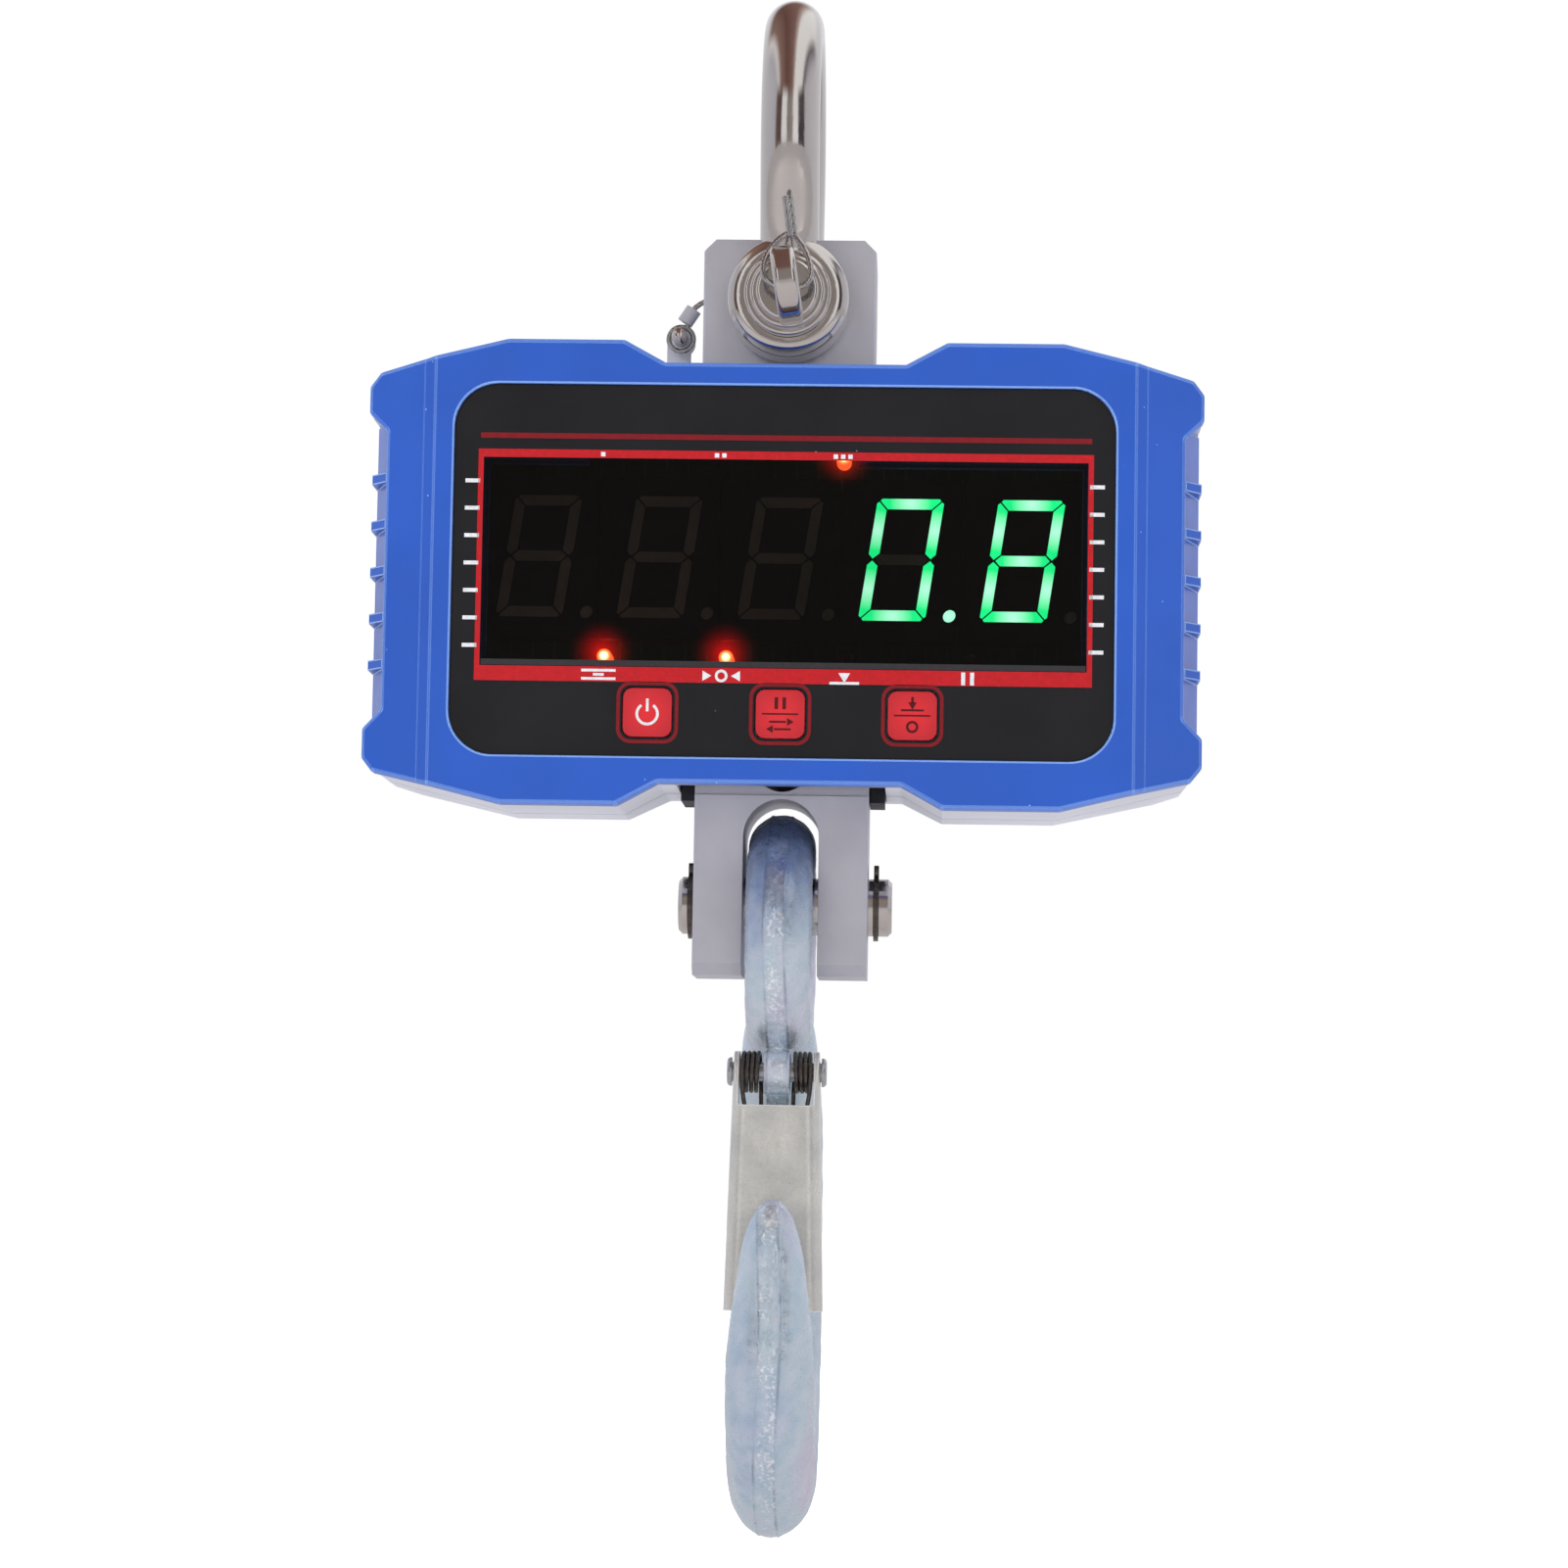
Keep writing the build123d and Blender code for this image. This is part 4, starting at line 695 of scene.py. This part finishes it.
def key_symbols():
    """A power sign, and signs for hold over unit and tare over zero, each on its own key."""
    power = [arc_band(0, -0.3, 2.1, 0.55, 125, 415), rectangle(0, 1.5, 0.55, 2.6)]
    divider = rectangle(0, 0, 7.4, 0.32)
    hold = [rectangle(offset, 2.2, 0.7, 2.4) for offset in (-0.8, 0.8)]
    right_arrow = [rectangle(-0.5, -1.6, 3.4, 0.4), triangle(1.9, -1.6, 0.9, 0)]
    left_arrow = [rectangle(0.5, -3.1, 3.4, 0.4), triangle(-1.9, -3.1, 0.9, 180)]
    tare = [rectangle(0, 1.1, 4.6, 0.4), triangle(0, 2.2, 1.0, 270), rectangle(0, 3.2, 0.5, 1.2)]
    zero = [circle(0, -2.3, 1.25), circle(0, -2.3, 0.75)]
    signs = [
        (power, WHITE),
        ([divider] + hold + right_arrow + left_arrow, KEY_SYMBOL),
        ([divider] + tare + zero, KEY_SYMBOL),
    ]
    front = KEY_FACE_Y - PRINT_THICK
    for name, x, (loops, material) in zip(KEY_NODES, KEY_XS, signs):
        flat_piece(name + "_sign", moved_loops(loops, x, KEY_Z), front, PRINT_THICK, material, name)


# ---- Display digits ------------------------------------------------------------------------------

DIGITS = 5
MODULE_WIDTH = 24.2
DIGIT_PITCH = (DIGITS_HIGH.x - DIGITS_LOW.x - MODULE_WIDTH) / (DIGITS - 1)
FIRST_DIGIT_X = DIGITS_LOW.x + MODULE_WIDTH / 2
DIGIT_LIFT = 0.25
DIGIT_MIDDLE_Z = (DIGITS_LOW.z + DIGITS_HIGH.z) / 2 + DIGIT_LIFT
DIGIT_HALF_WIDTH = 6.85
DIGIT_HALF_HEIGHT = 12.6
SEGMENT = 2.15
SEGMENT_GAP = 0.22
SEGMENT_RAISE = 0.12
POINT_R = 1.25
POINT_OFFSET = 4.8
SLANT = math.tan(math.radians(8.5))
SHOWN = {3: "abcdefp", 4: "abcdefg"}
LIT_STRENGTH = 10.5


def flipped(loop, sx, sz):
    return [(sx * x, sz * z) for x, z in loop]


def segment_loops():
    """The seven segments and the point of a digit, upright and about its centre."""
    w, h, t, g = DIGIT_HALF_WIDTH, DIGIT_HALF_HEIGHT, SEGMENT, SEGMENT_GAP
    top_right = [(w - 0.35 * t - g, h), (w - 0.2 * t - g, h - 0.2 * t), (w - t - g, h - t)]
    top = [flipped(top_right, -1, 1)[0]] + top_right + flipped(top_right, -1, 1)[:0:-1]
    upper = [
        (w, h - 0.35 * t - g),
        (w, 0.42 * t + g),
        (w - 0.42 * t, g),
        (w - t, 0.5 * t + g),
        (w - t, h - t - g),
        (w - 0.2 * t, h - 0.2 * t - g),
    ]
    left_tip = [(-w + t + g, -t / 2), (-w + 0.5 * t + g, 0), (-w + t + g, t / 2)]
    return {
        "a": top,
        "b": upper,
        "c": flipped(upper, 1, -1),
        "d": flipped(top, 1, -1),
        "e": flipped(upper, -1, -1),
        "f": flipped(upper, -1, 1),
        "g": left_tip + flipped(left_tip, -1, -1),
        "p": circle(w + POINT_OFFSET, -h + SEGMENT / 2, POINT_R),
    }


def segment_place(number, loop):
    """A digit's upright loop leaned over and moved to its place in the display."""
    x = FIRST_DIGIT_X + DIGIT_PITCH * number
    return [(x + px + SLANT * pz, DIGIT_MIDDLE_Z + pz) for px, pz in loop]


def middle(loop):
    """The average of a loop's points."""
    return sum(x for x, z in loop) / len(loop), sum(z for x, z in loop) / len(loop)


def lit_segment(lamps):
    """A lit light guide, whiter in front of its lamp."""
    finish = Finish("segment_lit")
    white = finish.calculate("MULTIPLY", finish.near(lamps, 4.2, 0.4), 0.8)
    green = finish.mottled(1.2, 3, (14, 226, 118), (30, 242, 140))
    tint = finish.mix(white, green, linear((190, 255, 228)))
    finish.set(Base_Color=linear((20, 60, 40)), Roughness=0.4)
    finish.set(Emission_Color=tint, Emission_Strength=LIT_STRENGTH)
    finish.relief(finish.noise(0.5, 3), 0.2, 0.02)
    return finish.material


def unlit_segment():
    """A light guide with its lamp off."""
    finish = Finish("segment_unlit")
    tint = finish.mottled(1.6, 3, (186, 164, 142), (210, 184, 160))
    finish.set(Base_Color=tint, Roughness=0.5)
    finish.relief(finish.noise(0.5, 3), 0.2, 0.02)
    return finish.material


def display_digits():
    """Raised light guides on the digit modules: each lit one is a piece, the unlit ones share one."""
    loops = segment_loops()
    shown = [(number, letter) for number, letters in SHOWN.items() for letter in letters]
    lamps = [middle(segment_place(number, loops[letter])) for number, letter in shown]
    lit, unlit = lit_segment(lamps), unlit_segment()
    resting = []
    front = DIGIT_FACE_Y - SEGMENT_RAISE
    for number in range(DIGITS):
        for letter, loop in loops.items():
            placed = segment_place(number, loop)
            if (number, letter) in shown:
                name = f"digit_{number + 1}_segment_{letter}"
                flat_piece(name, [placed], front, SEGMENT_RAISE, lit, "scale_body")
            else:
                resting.append(placed)
    flat_piece("unlit_segments", resting, front, SEGMENT_RAISE, unlit, "scale_body")


# ---- Hook ----------------------------------------------------------------------------------------

WELD_REACH = 0.002
HOOK_VOXEL = 0.45
SKIN_DEPTH = 0.16
SKIN_LUMP = 5.0
FLASH_HEIGHT = 0.3
FLASH_WIDTH = 0.36
ROUGH_HEIGHT = 0.14
ROUGH_LUMP = 1.1
EYE_CLEAR_R = 9.0
FLAT_FACING = 0.9


def forged_hook():
    """The hook with a forged skin: raised flash lines along its middle and an uneven surface."""
    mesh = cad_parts["hook"].data.copy()
    piece = mesh_piece("forged_hook", mesh, MATERIALS["zinc_forging"], "hook")
    weld = piece.modifiers.new("weld", "WELD")
    weld.merge_threshold = WELD_REACH * MM
    remesh = piece.modifiers.new("remesh", "REMESH")
    remesh.mode = "VOXEL"
    remesh.voxel_size = HOOK_VOXEL * MM
    remesh.adaptivity = 0
    depsgraph = bpy.context.evaluated_depsgraph_get()
    final = bpy.data.meshes.new_from_object(piece.evaluated_get(depsgraph))
    piece.modifiers.clear()
    normals = [vertex.normal.copy() for vertex in final.vertices]
    for vertex, normal in zip(final.vertices, normals):
        place = vertex.co / MM
        vertex.co += normal * (forged_height(place, normal) * MM)
    piece.data = final
    final.materials.clear()
    final.materials.append(MATERIALS["zinc_forging"])
    final.shade_smooth()
    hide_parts("hook")


def forged_height(place, normal):
    """How far the forged skin stands out of the ideal form at a point, in millimetres.

    Round the pin's eye and on the flat cheeks the skin is only ever cut back, so both stay clear."""
    skin = noise.fractal(place / SKIN_LUMP, 1.0, 2.0, 3) * SKIN_DEPTH - SKIN_DEPTH / 2
    along_pin = abs(normal.x)
    from_pin = math.hypot(place.y, place.z - PIN_Z)
    if from_pin < EYE_CLEAR_R or along_pin > FLAT_FACING:
        return min(0.0, skin)
    across = place.x - FLASH_WAVE * math.sin(place.z / FLASH_WAVE_LENGTH)
    rise = 0.0
    for line in FLASH_LINES:
        offset = (across - line) / FLASH_WIDTH
        rise = max(rise, FLASH_HEIGHT * math.exp(-offset * offset))
    between = FLASH_LINES[0] < across < FLASH_LINES[1]
    rough = ROUGH_HEIGHT * noise.noise(place / ROUGH_LUMP) if between else 0.0
    return skin + (rise + rough) * (1 - along_pin)


# ---- Latch spring, split where it bends ----------------------------------------------------------

# The cut between coils and latch legs, from the rivet's axis.
LEG_CUT_Y = -3.3
LEG_CUT_Z = 0.2


def spring_part(name, body, on_body):
    """The faces of the spring whose centres are on a body, as a piece of that body."""
    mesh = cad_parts["latch_spring"].data
    faces = [face for face in mesh.polygons if on_body(face.center)]
    used = list(dict.fromkeys(vertex for face in faces for vertex in face.vertices))
    index = {vertex: place for place, vertex in enumerate(used)}
    part = bpy.data.meshes.new(name)
    corners = [mesh.vertices[vertex].co for vertex in used]
    part.from_pydata(corners, [], [[index[vertex] for vertex in face.vertices] for face in faces])
    piece = mesh_piece(name, part, MATERIALS["spring_steel"], body)
    part.shade_smooth()
    return piece


def split_spring():
    """The coils and neck legs stay with the hook, and the latch legs go with the latch."""
    low, high = millimetres("latch_rivet")
    axis_y, axis_z = (low.y + high.y) / 2, (low.z + high.z) / 2

    def on_latch(point):
        return point.y / MM < axis_y + LEG_CUT_Y and point.z / MM < axis_z + LEG_CUT_Z

    spring_part("latch_spring_coils", "hook", lambda point: not on_latch(point))
    legs = spring_part("latch_spring_legs", "latch", on_latch)
    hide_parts("latch_spring")


# ---- Stage, in metres ----------------------------------------------------------------------------

FLOOR_Z = -0.335
FLOOR_REACH = 6.0
# The floor's own light, first as other rays see it and then as the camera does.
FLOOR_GLOW = (0.22, 0.62)
CAMERA_AZIMUTH = 1.90
CAMERA_ELEVATION = -5.1
CAMERA_ROLL = 0.94
CAMERA_DISTANCE = 0.9
CAMERA_TARGET = (0.00005, 0.0, -0.154)
CAMERA_LENS = 98.7
CASE_MIDDLE = (0, 0, -0.12)
AMBIENT = (0.62, 0.62, 0.66, 1)
OVERHEAD_FROM = 0.45
OVERHEAD_FULL = 0.6


def camera():
    """A long lens a little below the middle of the scale, turned slightly to its right."""
    data = bpy.data.cameras.new("camera")
    data.lens = CAMERA_LENS
    data.clip_start, data.clip_end = 0.01, 50
    made = bpy.data.objects.new("camera", data)
    bpy.context.scene.collection.objects.link(made)
    a, e = math.radians(CAMERA_AZIMUTH), math.radians(CAMERA_ELEVATION)
    back = Vector((math.sin(a) * math.cos(e), -math.cos(a) * math.cos(e), math.sin(e)))
    look = (-back).to_track_quat("-Z", "Y").to_matrix().to_4x4()
    roll = Matrix.Rotation(math.radians(CAMERA_ROLL), 4, "Z")
    made.matrix_world = Matrix.Translation(Vector(CAMERA_TARGET) + back * CAMERA_DISTANCE) @ look @ roll
    bpy.context.scene.camera = made


def softbox(name, place, aim, size, power):
    """A rectangular light that mirrors don't show."""
    data = bpy.data.lights.new(name, "AREA")
    data.shape = "RECTANGLE"
    data.size, data.size_y = size
    data.energy = power
    made = bpy.data.objects.new(name, data)
    bpy.context.scene.collection.objects.link(made)
    made.visible_glossy = False
    turn = (Vector(aim) - Vector(place)).to_track_quat("-Z", "Y")
    made.matrix_world = Matrix.Translation(place) @ turn.to_matrix().to_4x4()


def turn_stops(shades):
    """Angles in degrees as places on a ramp that holds a full turn."""
    return [((angle + 180) / 360, linear(colour)) for angle, colour in shades]


# Degrees round from the front, with the tone that polished metal sees there.
EYE_LEVEL_SHADES = [
    (-180, (235, 235, 238)),
    (-95, (206, 207, 214)),
    (-62, (198, 197, 203)),
    (-54, (110, 90, 84)),
    (-36, (98, 80, 76)),
    (-31, (250, 250, 250)),
    (-15, (250, 250, 250)),
    (-10, (146, 138, 134)),
    (8, (160, 152, 146)),
    (13, (255, 255, 255)),
    (29, (255, 255, 255)),
    (34, (84, 74, 74)),
    (54, (78, 72, 76)),
    (62, (198, 196, 202)),
    (180, (235, 235, 238)),
]
# The same overhead, in degrees that a direction leans from left to right.
OVERHEAD_SHADES = [
    (-90, (214, 214, 220)),
    (-50, (196, 196, 204)),
    (-42, (238, 236, 236)),
    (-34, (150, 122, 112)),
    (-14, (112, 80, 74)),
    (4, (138, 108, 100)),
    (10, (190, 170, 164)),
    (15, (252, 252, 252)),
    (36, (250, 250, 250)),
    (44, (120, 112, 116)),
    (54, (192, 192, 200)),
    (90, (214, 214, 220)),
]
# How much of those tones is left, from straight down to straight up.
HEIGHT_TONES = [(0.15, (0.2, 0.22, 0.28, 1)), (0.45, (0.95, 0.95, 0.97, 1)), (0.9, (1.0, 1.0, 1.0, 1))]


def studio():
    """White surroundings; polished metal sees softboxes with darker gaps between them."""
    made = bpy.data.worlds.new("studio")
    bpy.context.scene.world = made
    made.use_nodes = True
    made.node_tree.nodes.clear()
    world = NodeTree(made.node_tree)

    def turned(angle):
        inputs = {"Value": angle, "From Min": -math.pi, "From Max": math.pi}
        return world.node("ShaderNodeMapRange", inputs).outputs["Result"]

    ray = world.node("ShaderNodeTexCoord").outputs["Generated"]
    x, y, height = world.node("ShaderNodeSeparateXYZ", {0: ray}).outputs
    front = world.node("ShaderNodeMath", {0: y, 1: -1.0}, operation="MULTIPLY").outputs[0]
    turn = world.node("ShaderNodeMath", {0: x, 1: front}, operation="ARCTAN2").outputs[0]
    level = world.ramp(turned(turn), turn_stops(EYE_LEVEL_SHADES))
    lean = world.node("ShaderNodeMath", {0: x}, operation="ARCSINE").outputs[0]
    overhead = world.ramp(turned(lean), turn_stops(OVERHEAD_SHADES))
    limits = {"Value": height, "From Min": OVERHEAD_FROM, "From Max": OVERHEAD_FULL}
    rising = world.node("ShaderNodeMapRange", limits).outputs["Result"]
    around = world.mix(rising, level, overhead)
    upward = world.node("ShaderNodeMapRange", {"Value": height, "From Min": -1.0}).outputs["Result"]
    mirrored = world.mix(1.0, around, world.ramp(upward, HEIGHT_TONES), "MULTIPLY")
    path = world.node("ShaderNodeLightPath")
    lit = world.mix(path.outputs["Is Glossy Ray"], AMBIENT, mirrored)
    seen = world.mix(path.outputs["Is Camera Ray"], lit, (1, 1, 1, 1))
    background = world.node("ShaderNodeBackground", {"Color": seen})
    world.node("ShaderNodeOutputWorld", {"Surface": background.outputs[0]})


def floor():
    """Pale paper; it glows a little to the camera, so that it runs into the white behind it."""
    mesh = bpy.data.meshes.new("floor")
    square = box_loop(-FLOOR_REACH, -FLOOR_REACH, FLOOR_REACH, FLOOR_REACH)
    mesh.from_pydata([(x, y, FLOOR_Z) for x, y in square], [], [(0, 1, 2, 3)])
    finish = Finish("floor")
    path = finish.node("ShaderNodeLightPath").outputs
    paper = finish.mottled(300, 2, (247, 247, 248), (250, 250, 250))
    mirrored = linear((176, 170, 168))
    finish.set(Base_Color=finish.mix(path["Is Glossy Ray"], paper, mirrored), Roughness=0.9)
    glow = finish.span(path["Is Camera Ray"], (0, 1), FLOOR_GLOW)
    finish.set(Emission_Color=(1, 1, 1, 1), Emission_Strength=glow)
    mesh.materials.append(finish.material)
    made = bpy.data.objects.new("floor", mesh)
    bpy.context.scene.collection.objects.link(made)


dress_cad_nodes()
printed_frame()
window_strip()
side_ticks()
lamp_symbols()
key_rings()
key_symbols()
display_digits()
forged_hook()
split_spring()
camera()
studio()
floor()
softbox("key_light", (-0.75, -1.0, 0.45), CASE_MIDDLE, (0.7, 0.7), 5.5)
softbox("fill_light", (0.9, -0.9, 0.1), CASE_MIDDLE, (0.6, 0.9), 3)
softbox("top_light", (0.0, 0.1, 1.0), (0, 0, -0.1), (0.8, 0.8), 4)
bpy.context.scene.view_settings.view_transform = "Standard"
